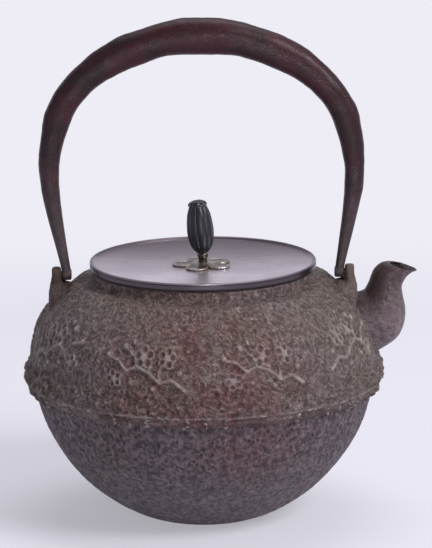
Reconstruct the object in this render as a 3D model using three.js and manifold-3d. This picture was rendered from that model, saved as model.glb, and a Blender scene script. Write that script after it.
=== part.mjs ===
// Cast-iron water kettle with a bail handle and a wide bronze lid, in millimetres.
// +Z is up, +X points along the spout, and the origin is the middle of the flat base.
import * as THREE from "three";
import { mergeVertices } from "three/addons/utils/BufferGeometryUtils.js";
import Module from "manifold-3d";

const wasm = await Module();
wasm.setup();

// Kettle body: a round bowl under a shoulder casting whose broken skirt laps over it.
const bowlRadius = 79;
const bowlWall = 3;
const baseRadius = 28;
const shoulderWall = 3;
const shoulderRise = 35.5;
const lapHeight = 13.2;
const lapClearance = 0.25;
const sealHeight = 1.3;
const skirtSwell = 3.4;
const skirtFace = 5.2;
const skirtStart = 2.2;
const skirtChipDepth = 1.3;
const skirtChipLift = 1.7;
const scarRadius = 8;
const scarWidth = 1.2;
const scarDepth = 0.5;

// Mouth and neck.
const neckRise = 5.4;
const neckFlare = 7.8;
const neckSlope = 40;
const neckPull = 13;
const sidePull = 19;
const rimWidth = 4;
const rimRound = 0.5;

// Lid and its knob.
const lidRadius = 52;
const lidOverhang = 1.2;
const lidEdge = 3.7;
const lidLip = 2;
const lidDish = 2.8;
const lidThickness = 2;
const lidClearance = 0.2;
const collarClearance = 0.6;
const collarWall = 1.2;
const collarDepth = 7.5;
const tangRadius = 2;
const tangClearance = 0.3;
const stemRise = 5.8;
const stemCollarRadius = 2.5;
const stemCollarHeight = 1.2;
const budHeight = 24.2;
const budRadius = 6;
const budLobes = 8;
const budGroove = 0.5;
const budLean = 5.5;
const budGap = 0.35;
const crownHeight = 2.6;
const crownRadius = 3.6;
const pegRadius = 1.1;
const pegLength = 5;
const pegClearance = 0.75;
const flowerRadius = 14.2;
const flowerPetals = 5;
const flowerNotch = 0.5;
const flowerThickness = 0.8;
const flowerSwell = 0.9;
const washerRadius = 6;
const washerThickness = 0.8;
const rivetRadius = 3.4;
const rivetHeight = 1.2;

// Spout: how far its lip stands out past the bowl and above the bowl's widest height.
const spoutReach = 19.1;
const spoutRise = 42.6;
const spoutHalfBreadth = 13.6;
const spoutWall = 2.2;
const sleeveRadius = 10;
const sleeveBore = 8;
const sleeveLength = 9;
const castGap = 0.25;

// Lugs on the shoulder, and the handle that swings in them.
const pivotInset = 16.6;
const pivotRise = 6.1;
const pinRadius = 1.7;
const pinClearance = 0.25;
const pinTip = -0.25;
const lugGap = 0.7;
const lugThickness = 4.4;
const lugCrown = 3.5;
const lugNeck = 4.5;
const lugFoot = 12;
const lugRoot = 9;
const lugFlare = 2.4;
const lugMound = 6.6;
const moundDrop = 2.9;
const keyRadius = 1.8;
const keyDepth = 2.2;
const bowRise = 109.2;
const bowSheet = 1.3;
const bowSeam = 0.5;
const legRise = 24;
const spigotLength = 7;
const spigotClearance = 0.15;
const crownDepth = 17;
const crownBreadth = 14;
const bendDepth = 12.6;
const bendBreadth = 12;
const legDepth = 9.4;
const legBreadth = 8.6;
const tipDepth = 4;
const tipBreadth = 4.2;

// How finely round shapes are cut.
const bodySides = 60;
const shoulderSteps = 12;
const lidSides = 48;
const tubeSides = 16;
const smallSides = 16;

const pivotRadius = bowlRadius - pivotInset;
const equator = Math.sqrt(bowlRadius ** 2 - baseRadius ** 2);
const neckFoot = equator + shoulderRise;
const rimTop = neckFoot + neckRise;
const rimOuter = lidRadius - lidOverhang;
const rimBore = rimOuter - rimWidth;
const neckFootRadius = rimOuter + neckFlare;
const bowlRim = equator - 2.9;
const ledge = bowlRim + sealHeight;
const skirtBottom = ledge - lapHeight;

const point = (radius, height) => new THREE.Vector2(radius, height);
const degrees = THREE.MathUtils.degToRad;

/** Turns a closed profile of (radius, height) points about the vertical axis. */
function turned(profile, sides) {
  return new THREE.LatheGeometry([...profile, profile[0]], sides).rotateX(Math.PI / 2);
}

/** A repeatable scatter of values from 0 to 1. */
function scatter(i) {
  const s = Math.sin(i * 12.9898 + 4.1) * 43758.5453;
  return s - Math.floor(s);
}

/** Skins rings of equal length. Each ring runs anticlockwise about the way the rings advance. */
function skinned(rings, caps = "fan") {
  const n = rings[0].length;
  const position = rings.flat().flatMap((p) => [p.x, p.y, p.z]);
  const index = [];
  const rows = caps === "loop" ? rings.length : rings.length - 1;
  for (let i = 0; i < rows; i++) {
    const a = i * n;
    const b = ((i + 1) % rings.length) * n;
    for (let j = 0; j < n; j++) {
      const k = (j + 1) % n;
      index.push(a + j, a + k, b + k, a + j, b + k, b + j);
    }
  }
  const last = (rings.length - 1) * n;
  for (let j = 1; caps === "fan" && j < n - 1; j++) {
    index.push(0, j + 1, j, last, last + j, last + j + 1);
  }
  for (let j = 0; caps === "strip" && j < n / 2 - 1; j++) {
    const [o, p, q, r] = [j, j + 1, n - 2 - j, n - 1 - j];
    index.push(o, q, p, o, r, q, last + o, last + p, last + q, last + o, last + q, last + r);
  }
  const geometry = new THREE.BufferGeometry();
  geometry.setAttribute("position", new THREE.Float32BufferAttribute(position, 3));
  geometry.setIndex(index);
  return geometry;
}

/** The geometry as a solid that can be joined and cut. */
function solid(geometry) {
  const bare = geometry.clone();
  bare.deleteAttribute("normal");
  bare.deleteAttribute("uv");
  const merged = mergeVertices(bare, 1e-3);
  return new wasm.Manifold(
    new wasm.Mesh({
      numProp: 3,
      vertProperties: new Float32Array(merged.attributes.position.array),
      triVerts: new Uint32Array(merged.index.array),
    }),
  );
}

/** The solid's surface as a geometry. */
function surface(body) {
  const mesh = body.getMesh();
  const geometry = new THREE.BufferGeometry();
  geometry.setAttribute("position", new THREE.Float32BufferAttribute(mesh.vertProperties, 3));
  geometry.setIndex([...mesh.triVerts]);
  return geometry;
}

/** A round bar between two points. */
function bar(from, to, radius, sides = smallSides) {
  const way = to.clone().sub(from);
  const turn = new THREE.Quaternion().setFromUnitVectors(
    new THREE.Vector3(0, 1, 0),
    way.clone().normalize(),
  );
  return new THREE.CylinderGeometry(radius, radius, way.length(), sides)
    .applyQuaternion(turn)
    .translate(...from.clone().add(to).multiplyScalar(0.5).toArray());
}

/** Points of the shoulder curve from the equator to the neck, moved outwards by grow. */
function shoulderCurve(grow, steps) {
  const foot = point(neckFootRadius, neckFoot);
  const curve = new THREE.CubicBezierCurve(
    point(bowlRadius, equator),
    point(bowlRadius, equator + sidePull),
    point(foot.x + neckPull * Math.cos(degrees(neckSlope)), foot.y - neckPull * Math.sin(degrees(neckSlope))),
    foot,
  );
  const points = [];
  for (let i = 0; i <= steps; i++) {
    const along = curve.getTangent(i / steps);
    const at = curve.getPoint(i / steps);
    points.push(point(at.x + along.y * grow, at.y - along.x * grow));
  }
  return points;
}

/** Height of the shoulder's outside at a radius. */
function shoulderHeight(radius) {
  const line = shoulderCurve(0, 60);
  const i = line.findIndex((p) => p.x < radius);
  const [below, above] = [line[i - 1], line[i]];
  return below.y + ((above.y - below.y) * (below.x - radius)) / (below.x - above.x);
}

/** Points of a sphere's outline from one height to another, centred on the equator. */
function sphereLine(radius, from, to, steps) {
  const angle = (z) => Math.asin((z - equator) / radius);
  const points = [];
  for (let i = 0; i <= steps; i++) {
    const a = angle(from) + ((angle(to) - angle(from)) * i) / steps;
    points.push(point(radius * Math.cos(a), equator + radius * Math.sin(a)));
  }
  return points;
}

/** The skirt's outside above its broken face, up to where it leaves the shoulder, moved out by a gap. */
function skirtLine(gap) {
  const brow = bowlRadius + skirtSwell + gap;
  const faceTop = skirtBottom + skirtFace;
  const lean = equator + skirtStart + gap - faceTop;
  return [
    point(brow, faceTop + lean * 0.25),
    point(brow - skirtSwell * 0.13, faceTop + lean * 0.45),
    point(brow - skirtSwell * 0.6, faceTop + lean * 0.72),
    point(bowlRadius + gap, faceTop + lean),
  ];
}

/** The shoulder and its skirt with no hollow, grown by a gap, to trim what is cast on to them. */
function bodyBlank(gap) {
  const profile = [
    point(0, skirtBottom),
    point(bowlRadius + skirtSwell + gap, skirtBottom),
    ...skirtLine(gap),
    ...shoulderCurve(gap, shoulderSteps).slice(1),
    point(0, neckFoot + gap),
  ];
  return solid(new THREE.LatheGeometry(profile, bodySides).rotateX(Math.PI / 2));
}

const pivotHeight = shoulderHeight(pivotRadius) + pivotRise;
const lugInner = pivotRadius + tipDepth / 2 + lugGap;
const lugMiddle = lugInner + lugThickness / 2;

/** The lower bowl, with the round scar of its pouring gate under the base. */
function bowl() {
  const inner = bowlRadius - bowlWall;
  const profile = [
    point(0, 0),
    point(scarRadius, 0),
    point(scarRadius, scarDepth),
    point(scarRadius + scarWidth, scarDepth),
    point(scarRadius + scarWidth, 0),
    point(baseRadius - 1, 0),
    ...sphereLine(bowlRadius, 0.4, bowlRim, 10),
    ...sphereLine(inner, bowlWall, bowlRim, 7).reverse(),
    point(0, bowlWall),
  ];
  return new THREE.LatheGeometry(profile, bodySides).rotateX(Math.PI / 2);
}

/** The ring of lacquer and iron filings that seals the lap joint. */
function lapSeal() {
  const inner = bowlRadius - bowlWall + 0.3;
  const outer = bowlRadius - 0.3;
  const gap = 0.15;
  const profile = [
    point(inner, bowlRim + gap),
    point(outer, bowlRim + gap),
    point(outer, ledge - gap),
    point(inner, ledge - gap),
  ];
  return turned(profile, bodySides);
}

/** How far the skirt's broken edge is chipped away at a side of the body, from 0 to 1. */
function chip(side) {
  const coarse = scatter(Math.floor(side / 2));
  return 0.65 * coarse + 0.35 * scatter(side + 400);
}

/** Outline of the shoulder casting on one side of the body, with that side's share of the broken skirt. */
function shoulderOutline(side) {
  const worn = chip(side);
  const brow = bowlRadius + skirtSwell;
  const edge = brow - 0.5 - skirtChipDepth * worn;
  const bottom = skirtBottom + skirtChipLift * worn;
  return [
    point(bowlRadius + lapClearance, ledge),
    ...sphereLine(bowlRadius + lapClearance, ledge - 1, bottom, 3),
    point(edge - 1.2, bottom),
    point(edge, bottom + 1.6),
    point(brow - 0.6 * worn, skirtBottom + skirtFace),
    ...skirtLine(0),
    ...shoulderCurve(0, shoulderSteps).slice(1),
    point(rimOuter + neckFlare * 0.62, neckFoot + neckRise * 0.03),
    point(rimOuter + neckFlare * 0.3, neckFoot + neckRise * 0.08),
    point(rimOuter + neckFlare * 0.1, neckFoot + neckRise * 0.25),
    point(rimOuter, neckFoot + neckRise * 0.5),
    point(rimOuter, rimTop - rimRound),
    point(rimOuter - rimRound, rimTop),
    point(rimBore, rimTop),
    point(rimBore, neckFoot - shoulderWall),
    ...shoulderCurve(-shoulderWall, 7).reverse(),
    point(bowlRadius - bowlWall, ledge),
  ];
}

/** The shoulder casting before its openings are cut. */
function shoulderBlank() {
  const rings = [];
  for (let side = 0; side < bodySides; side++) {
    const a = (2 * Math.PI * side) / bodySides;
    rings.push(
      shoulderOutline(side).map(
        (p) => new THREE.Vector3(p.x * Math.cos(a), p.x * Math.sin(a), p.y),
      ),
    );
  }
  return skinned(rings.map((ring) => ring.reverse()), "loop");
}

/** One section of the spout: the ends of its middle line and half its breadth, as shares of the spout's sizes. */
function spoutSection(upperOut, upperRise, lowerOut, lowerRise, breadth) {
  return {
    upper: point(upperOut * spoutReach, upperRise * spoutRise),
    lower: point(lowerOut * spoutReach, lowerRise * spoutRise),
    half: breadth * spoutHalfBreadth,
  };
}

const spoutSections = [
  spoutSection(-0.68, 0.643, -0.105, -0.014, 1),
  spoutSection(-0.304, 0.685, 0.471, 0.141, 0.956),
  spoutSection(-0.204, 0.737, 0.686, 0.298, 0.882),
  spoutSection(-0.141, 0.796, 0.738, 0.474, 0.765),
  spoutSection(-0.089, 0.859, 0.675, 0.634, 0.654),
  spoutSection(-0.031, 0.918, 0.649, 0.737, 0.588),
  spoutSection(0.063, 0.965, 0.749, 0.829, 0.537),
  spoutSection(0.157, 0.991, 0.88, 0.883, 0.515),
  spoutSection(0.246, 1, 0.995, 0.904, 0.507),
];

/** Rings of the spout, drawn in by an amount at the root and another at the lip. */
function spoutRings(rootInset, lipInset) {
  return spoutSections.map((section, i) => {
    const share = i / (spoutSections.length - 1);
    const inset = rootInset + (lipInset - rootInset) * share;
    const middle = section.upper.clone().add(section.lower).multiplyScalar(0.5);
    const up = section.upper.clone().sub(section.lower).multiplyScalar(0.5);
    const reach = (up.length() - inset) / up.length();
    const ring = [];
    for (let j = 0; j < tubeSides; j++) {
      const a = (2 * Math.PI * j) / tubeSides;
      const rise = Math.cos(a) * reach;
      ring.push(
        new THREE.Vector3(
          bowlRadius + middle.x + up.x * rise,
          -(section.half - inset) * Math.sin(a),
          equator + middle.y + up.y * rise,
        ),
      );
    }
    return ring;
  });
}

/** The line that the spout's root follows through the wall, pointing out. */
function rootLine() {
  const { upper, lower } = spoutSections[0];
  const middle = upper.clone().add(lower).multiplyScalar(0.5);
  const up = upper.clone().sub(lower).normalize();
  return {
    centre: new THREE.Vector3(bowlRadius + middle.x, 0, equator + middle.y),
    way: new THREE.Vector3(up.y, 0, -up.x),
  };
}

/** The round sleeve of the spout's root, or the hole that it passes through. */
function rootBar(radius, inwards, outwards) {
  const { centre, way } = rootLine();
  return solid(
    bar(
      centre.clone().addScaledVector(way, -inwards),
      centre.clone().addScaledVector(way, outwards),
      radius,
      tubeSides,
    ),
  );
}

/** The spout, cast round a sleeve that passes through the shoulder's wall. */
function spout() {
  const outside = spoutRings(0, 0);
  const bore = spoutRings(spoutWall + 1, spoutWall - 0.6).slice(1);
  const lip = bore.at(-1);
  const beyond = lip.map((p, i) => p.clone().multiplyScalar(2).sub(bore.at(-2)[i]));
  const { centre, way } = rootLine();
  const inner = bore[0].map((p) => p.clone().addScaledVector(way, -3));
  return solid(skinned(outside))
    .subtract(bodyBlank(castGap))
    .subtract(lugBlank(castGap))
    .add(rootBar(sleeveRadius, sleeveLength * 0.4, sleeveLength * 0.9))
    .subtract(rootBar(sleeveBore, sleeveLength, sleeveLength))
    .subtract(solid(skinned([inner, ...bore, beyond])));
}

/** A rounded oblong ring about the lug's middle plane, from one x to another. */
function lugRing(inner, outer, half, height) {
  const ring = [];
  for (let j = 0; j < smallSides; j++) {
    const a = (2 * Math.PI * j) / smallSides;
    const round = (v) => Math.sign(v) * Math.abs(v) ** 0.6;
    const across = ((outer - inner) / 2) * round(Math.cos(a));
    ring.push(new THREE.Vector3((outer + inner) / 2 + across, half * round(Math.sin(a)), height));
  }
  return ring;
}

/** The lug's outer form on the +X shoulder, grown by a gap. */
function lugBlank(gap) {
  const foot = pivotHeight - pivotRise;
  const ring = (inner, outer, half, height) =>
    lugRing(lugInner + inner - gap, lugInner + lugThickness + outer + gap, half + gap, height);
  const stem = solid(
    skinned([
      ring(-2, lugFlare * 0.65, lugFoot - 2, foot - lugRoot - gap),
      ring(-2, lugFlare * 0.6, lugFoot - 3, foot - 2.4),
      ring(-1.8, lugFlare * 0.5, lugFoot - 4.6, foot),
      ring(-1.2, lugFlare * 0.4, lugNeck + 1.5, foot + 1.1),
      ring(-0.6, lugFlare * 0.3, lugNeck + 0.5, foot + 1.9),
      ring(0, lugFlare * 0.2, lugNeck + 0.1, foot + 2.8),
      ring(0, 0, lugNeck, pivotHeight),
      ring(0.1, 0, lugNeck * 0.8, pivotHeight + lugCrown * 0.65),
      ring(0.7, -0.7, lugNeck * 0.4, pivotHeight + lugCrown + gap),
    ]),
  );
  return stem.add(moundBlank(gap));
}
// The saddle from the neck to the lug: its flanks fall away, so that the swinging leg clears it.
function moundBlank(gap) {
  const ridge = pivotHeight - moundDrop;
  const ring = (inner, half, drop) =>
    lugRing(lugInner + inner - gap, lugInner + 1 + gap, half + gap, ridge - drop);
  return solid(
    skinned([
      ring(-lugMound, lugFoot, lugRoot + 3 + gap),
      ring(-lugMound, lugFoot - 1, 5.5),
      ring(-lugMound, lugFoot - 3.2, 3.2),
      ring(-lugMound, lugFoot - 5.8, 2.2),
      ring(-lugMound, lugFoot - 8.2, 1.3),
      ring(-lugMound + 0.2, lugFoot - 10.2, 0.5),
      ring(-lugMound + 0.4, lugFoot - 11.3, -gap),
    ]),
  );
}
function lug() {
  const hole = bar(
    new THREE.Vector3(lugInner - 5, 0, pivotHeight),
    new THREE.Vector3(lugInner + lugThickness + 5, 0, pivotHeight),
    pinRadius + pinClearance,
  );
  return lugBlank(0)
    .subtract(bodyBlank(castGap))
    .add(key(0))
    .subtract(rootBar(sleeveRadius + castGap, sleeveLength * 2, sleeveLength * 2))
    .subtract(solid(hole));
}

/** The lug's key, or with a gap the pocket that holds it. */
function key(gap) {
  const seat = shoulderHeight(lugMiddle);
  return solid(
    bar(
      new THREE.Vector3(lugMiddle, 0, seat - keyDepth - gap),
      new THREE.Vector3(lugMiddle, 0, seat + pivotRise * 0.6),
      keyRadius + gap,
    ),
  );
}

/** A solid turned half round the vertical axis. */
const opposite = (body) => body.rotate([0, 0, 180]);

/** The shoulder casting, opened for the spout's sleeve and the two lugs' keys. */
function shoulder() {
  const pocket = key(castGap);
  return solid(shoulderBlank())
    .subtract(rootBar(sleeveRadius + castGap, sleeveLength * 2, sleeveLength * 2))
    .subtract(pocket)
    .subtract(opposite(pocket));
}

// The bow's line from a pivot to the crown: shares of the pivot radius across and of the bow's rise.
const bowLine = new THREE.CatmullRomCurve3(
  [
    [1, 0],
    [1.002, 0.036],
    [1.017, 0.08],
    [1.064, 0.19],
    [1.104, 0.323],
    [1.119, 0.46],
    [1.086, 0.593],
    [0.997, 0.725],
    [0.869, 0.82],
    [0.729, 0.881],
    [0.521, 0.941],
    [0.27, 0.985],
    [0, 1],
    [-0.27, 0.985],
    [-0.521, 0.941],
    [-0.729, 0.881],
    [-0.869, 0.82],
    [-0.997, 0.725],
    [-1.086, 0.593],
    [-1.119, 0.46],
    [-1.104, 0.323],
    [-1.064, 0.19],
    [-1.017, 0.08],
    [-1.002, 0.036],
    [-1, 0],
  ].map(([across, rise]) => new THREE.Vector3(across * pivotRadius, 0, pivotHeight + rise * bowRise)),
);

/** Share of the bow's line at which it is a given rise above the pivots. */
function bowShare(rise) {
  let [low, high] = [0, 0.5];
  for (let i = 0; i < 40; i++) {
    const middle = (low + high) / 2;
    if (bowLine.getPointAt(middle).z < pivotHeight + rise) low = middle;
    else high = middle;
  }
  return low;
}

/** Depth and breadth of the bow at a share of its line. */
function bowSize(share) {
  const fromTip = Math.min(share, 1 - share) * 2;
  const stops = [
    [0, tipDepth, tipBreadth],
    [0.16, tipDepth + 1.9, tipBreadth + 1.8],
    [0.4, legDepth, legBreadth],
    [0.66, bendDepth, bendBreadth],
    [0.82, crownDepth - 3, crownBreadth - 1],
    [1, crownDepth, crownBreadth],
  ];
  const i = Math.max(1, stops.findIndex(([at]) => at >= fromTip));
  const [a, b] = [stops[i - 1], stops[i]];
  const blend = (fromTip - a[0]) / (b[0] - a[0]);
  return [1, 2].map((n) => a[n] + (b[n] - a[n]) * blend);
}

// Power that squares off the bow's oval section a little.
const squareness = 0.85;

/** A point of the bow's skin: turned is the angle from its outer side, inset the depth below the skin. */
function bowPoint(share, turn, inset) {
  const at = bowLine.getPointAt(share);
  const along = bowLine.getTangentAt(share);
  const outwards = new THREE.Vector3(along.z, 0, -along.x);
  const [depth, breadth] = bowSize(share);
  const soften = (v) => Math.sign(v) * Math.abs(v) ** squareness;
  at.addScaledVector(outwards, (depth / 2 - inset) * soften(Math.cos(turn)));
  at.y += (breadth / 2 - inset) * soften(Math.sin(turn));
  return at;
}

/** The hollow bow, rolled from sheet with a narrow seam along its inner side. */
function bow() {
  const steps = 32;
  const half = tubeSides / 2;
  const from = bowShare(legRise);
  const rings = [];
  for (let i = 0; i <= steps; i++) {
    const share = from + ((1 - 2 * from) * i) / steps;
    const slit = Math.asin((bowSeam / bowSize(share)[1]) ** (1 / squareness));
    const turn = (j) => (Math.PI - slit) * (j / half - 1);
    const outer = [];
    for (let j = 0; j <= tubeSides; j++) outer.push(turn(j));
    rings.push([
      ...outer.map((a) => bowPoint(share, a, 0)),
      ...outer.reverse().map((a) => bowPoint(share, a, bowSheet)),
    ]);
  }
  return skinned(rings, "strip");
}

/** The solid end of the bow on the +X side: a leg, a spigot inside the bow, and the pin in the lug. */
function bowEnd() {
  const legSteps = 8;
  const top = bowShare(legRise - 0.1);
  const spigotTop = bowShare(legRise + spigotLength);
  const ring = (share, inset) => {
    const points = [];
    for (let j = 0; j < smallSides; j++) {
      points.push(bowPoint(share, (2 * Math.PI * j) / smallSides, inset));
    }
    return points;
  };
  const leg = [];
  for (let i = 0; i <= legSteps; i++) leg.push(ring((top * i) / legSteps, 0));
  const inset = bowSheet + spigotClearance;
  const spigot = [ring(top * 0.9, inset), ring(top, inset), ring(spigotTop, inset)];
  const eye = bar(
    new THREE.Vector3(pivotRadius - tipDepth / 2, 0, pivotHeight),
    new THREE.Vector3(pivotRadius + tipDepth / 2, 0, pivotHeight),
    tipBreadth / 2 + 0.3,
  );
  const pin = bar(
    new THREE.Vector3(pivotRadius, 0, pivotHeight),
    new THREE.Vector3(lugInner + lugThickness + pinTip, 0, pivotHeight),
    pinRadius,
  );
  return solid(skinned(leg)).add(solid(skinned(spigot))).add(solid(eye)).add(solid(pin));
}

const lidUnder = rimTop + lidClearance;
const lidTop = lidUnder + lidEdge;
const dishFloor = lidTop - lidDish;
const collarRadius = rimBore - collarClearance;

/** Height of the lid's dished face at a radius. */
function dishHeight(radius) {
  const across = lidRadius - lidLip;
  return dishFloor + (lidDish - 1.1) * (radius / across) ** 2;
}

/** The lid: a dished plate with an upright lip and a hole for the knob's tang. */
function lidPlate() {
  const hole = tangRadius + tangClearance;
  const across = lidRadius - lidLip;
  const dish = [0.25, 0.5, 0.75, 1].map((share) => share * across);
  const profile = [
    point(hole, dishFloor - lidThickness),
    point(collarRadius, lidUnder),
    point(lidRadius - 0.9, lidUnder),
    point(lidRadius - 0.3, lidUnder + 0.5),
    point(lidRadius, lidTop - 1),
    point(lidRadius - 0.3, lidTop - 0.2),
    point(lidRadius - 0.9, lidTop),
    point(across + 0.4, lidTop - 0.5),
    ...dish.reverse().map((r) => point(r, dishHeight(r))),
    point(hole, dishFloor),
  ];
  return turned(profile, lidSides);
}

/** The ring under the lid that drops into the mouth. */
function lidCollar() {
  const gap = 0.2;
  const inner = collarRadius - collarWall;
  const top = (radius) => {
    const slope = (lidUnder - dishFloor + lidThickness) / collarRadius;
    return dishFloor - lidThickness + slope * radius - gap;
  };
  const profile = [
    point(inner, lidUnder - collarDepth),
    point(collarRadius, lidUnder - collarDepth),
    point(collarRadius, top(collarRadius)),
    point(inner, top(inner)),
  ];
  return turned(profile, lidSides);
}

/** The blossom-shaped washer on top of the lid. */
function flowerWasher() {
  const sides = flowerPetals * 8;
  const hole = tangRadius + tangClearance;
  const under = dishHeight(flowerRadius) + 0.15;
  const reach = (petal) => 1 - flowerNotch * (1 - petal ** 0.6);
  const rings = [];
  const place = (share, height) => {
    const ring = [];
    for (let j = 0; j < sides; j++) {
      const a = (2 * Math.PI * j) / sides;
      const petal = Math.abs(Math.cos((flowerPetals * (a - Math.PI)) / 2));
      const r = hole + (flowerRadius * reach(petal) - hole) * share;
      const z = under + height + flowerSwell * petal ** 0.8 * Math.sin(Math.PI * share) * (height > 0);
      ring.push(new THREE.Vector3(r * Math.cos(a), r * Math.sin(a), z));
    }
    rings.push(ring);
  };
  place(0, 0);
  place(1, 0);
  place(1, flowerThickness * 0.6);
  place(0.85, flowerThickness);
  place(0.6, flowerThickness);
  place(0.3, flowerThickness);
  place(0, flowerThickness * 1.4);
  return skinned(rings, "loop");
}

const stemTop = dishFloor + stemRise;
const rivetTop = dishFloor - lidThickness - 0.25 - washerThickness - 0.25;

/** The plain washer under the lid. */
function underWasher() {
  const top = dishFloor - lidThickness - 0.25;
  const hole = tangRadius + tangClearance;
  const profile = [
    point(hole, top - washerThickness),
    point(washerRadius, top - washerThickness),
    point(washerRadius, top),
    point(hole, top),
  ];
  return turned(profile, 32);
}

/** The knob's tang: a turned stem with a collar under the bud, a peg inside it and a riveted foot. */
function tang() {
  const profile = [
    point(0, rivetTop - rivetHeight),
    point(rivetRadius * 0.6, rivetTop - rivetHeight),
    point(rivetRadius, rivetTop - rivetHeight * 0.4),
    point(rivetRadius, rivetTop),
    point(tangRadius, rivetTop),
    point(tangRadius, stemTop - stemCollarHeight - 1.4),
    point(tangRadius + 0.25, stemTop - stemCollarHeight - 0.7),
    point(stemCollarRadius, stemTop - stemCollarHeight),
    point(stemCollarRadius, stemTop - 0.2),
    point(pegRadius, stemTop - 0.2),
    point(pegRadius, stemTop + pegLength),
    point(0, stemTop + pegLength),
  ];
  return new THREE.LatheGeometry(profile, smallSides).rotateX(Math.PI / 2);
}

/** A ring of the bud with its lobes, at a height above the stem. */
function budRing(radius, height, groove, sides) {
  const ring = [];
  for (let j = 0; j < sides; j++) {
    const a = (2 * Math.PI * j) / sides;
    const lobe = Math.abs(Math.cos((budLobes * a) / 2));
    const r = radius * (1 - groove * (1 - lobe));
    ring.push(new THREE.Vector3(r * Math.cos(a), r * Math.sin(a), height));
  }
  return ring;
}

/** The knob's bud, with lobes along its sides, a ragged crown on top and a blind hole for its peg. */
function bud() {
  const sides = budLobes * 4;
  const rings = [];
  const steps = 12;
  const body = budHeight - crownHeight * 0.5;
  for (let i = 0; i <= steps; i++) {
    const share = i / steps;
    const t = Math.PI * (0.09 + 0.75 * share ** 0.9);
    const radius = budRadius * Math.sin(t) ** 0.8;
    rings.push(budRing(radius, body * share, (budGroove / budRadius) * Math.sin(t), sides));
  }
  rings.push(budRing(crownRadius, budHeight - crownHeight * 0.8, 0.1, sides));
  rings.push(budRing(crownRadius + 0.5, budHeight - crownHeight * 0.3, 0.22, sides));
  rings.push(budRing(crownRadius * 0.7, budHeight - 0.3, 0.16, sides));
  rings.push(budRing(crownRadius * 0.3, budHeight, 0.1, sides));
  const socket = bar(
    new THREE.Vector3(0, 0, -1),
    new THREE.Vector3(0, 0, pegLength + pegClearance),
    pegRadius + pegClearance,
  );
  return solid(skinned(rings)).subtract(solid(socket));
}

const castIron = { color: 0x4a3c38, roughness: 0.82, metalness: 0.45 };
const oldIron = { color: 0x3f3639, roughness: 0.85, metalness: 0.45 };
const forgedIron = { color: 0x3d2c29, roughness: 0.62, metalness: 0.55 };
const lidBronze = { color: 0x5d5056, roughness: 0.34, metalness: 0.85 };
const blackBronze = { color: 0x16171a, roughness: 0.34, metalness: 0.7 };
const paleMetal = { color: 0x87807a, roughness: 0.38, metalness: 0.9 };
const stemMetal = { color: 0x4d443f, roughness: 0.45, metalness: 0.85 };
const lacquer = { color: 0x1b1411, roughness: 0.5, metalness: 0.0 };

const kettle = new THREE.Group();

/** Adds one named piece to the kettle and returns it. */
function add(name, geometry, finish) {
  const shown = geometry.isBufferGeometry ? geometry : surface(geometry);
  const mesh = new THREE.Mesh(shown, new THREE.MeshStandardMaterial(finish));
  mesh.name = name;
  kettle.add(mesh);
  return mesh;
}

add("lower_bowl", bowl(), oldIron);
add("lap_seal", lapSeal(), lacquer);
add("shoulder_shell", shoulder(), castIron);
add("spout", spout(), castIron);
const rightLug = lug();
add("right_lug", rightLug, castIron);
add("left_lug", opposite(rightLug), castIron);
add("handle_bow", bow(), forgedIron);
const rightEnd = bowEnd();
add("handle_right_end", rightEnd, forgedIron);
add("handle_left_end", opposite(rightEnd), forgedIron);
add("lid_plate", lidPlate(), lidBronze);
add("lid_collar", lidCollar(), lidBronze);
add("flower_washer", flowerWasher(), paleMetal);
add("under_washer", underWasher(), paleMetal);
add("knob_tang", tang(), stemMetal);
const knobBud = add("knob_bud", bud(), blackBronze);
knobBud.position.z = stemTop + budGap;
knobBud.rotation.y = degrees(-budLean);

export default kettle;
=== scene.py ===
"""Dresses a cast-iron kettle with its skins, relief, forged handle and bronze lid, on a pale studio floor."""

from __future__ import annotations

import logging
import math
from dataclasses import dataclass, field
from enum import Enum

import bmesh
import bpy
import numpy as np
from mathutils import Matrix, Vector, noise

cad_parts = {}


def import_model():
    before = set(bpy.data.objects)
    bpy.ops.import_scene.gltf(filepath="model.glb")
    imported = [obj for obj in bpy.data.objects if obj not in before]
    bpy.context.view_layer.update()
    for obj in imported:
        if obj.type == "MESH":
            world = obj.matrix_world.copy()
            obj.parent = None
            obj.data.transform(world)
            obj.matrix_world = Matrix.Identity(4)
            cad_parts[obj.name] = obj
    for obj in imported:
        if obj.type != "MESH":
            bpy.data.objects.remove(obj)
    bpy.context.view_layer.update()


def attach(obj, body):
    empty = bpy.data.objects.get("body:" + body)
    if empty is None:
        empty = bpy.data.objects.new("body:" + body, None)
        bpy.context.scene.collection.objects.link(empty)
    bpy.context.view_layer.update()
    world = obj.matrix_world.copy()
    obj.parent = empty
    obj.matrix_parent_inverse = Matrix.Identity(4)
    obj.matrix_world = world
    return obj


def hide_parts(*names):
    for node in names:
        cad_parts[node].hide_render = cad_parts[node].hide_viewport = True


log = logging.getLogger("kettle")

MM = 0.001
TAU = 2 * math.pi
Input = bpy.types.NodeSocket | float | tuple
WEDGES = 24
FRAME_WIDTH = 432
FRAME_HEIGHT = 548


class Body(Enum):
    """The rigid bodies of the frame."""

    KETTLE = "kettle"
    HANDLE = "handle"
    LID = "lid"
    KNOB = "knob"


class Side(Enum):
    """The side of the kettle on which a paired piece stands."""

    RIGHT = 1
    LEFT = -1


# Modelling helpers. Lengths are in millimetres until a mesh is filled.


def deselect_all() -> None:
    """Leaves edit mode and deselects every object."""
    if bpy.context.object and bpy.context.object.mode != "OBJECT":
        bpy.ops.object.mode_set(mode="OBJECT")
    bpy.ops.object.select_all(action="DESELECT")


def named(name: str) -> bpy.types.Object:
    """Names the active object and its mesh.

    Args:
        name: The new name.

    Returns:
        The active object.
    """
    piece = bpy.context.object
    piece.name = name
    piece.data.name = name
    return piece


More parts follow.
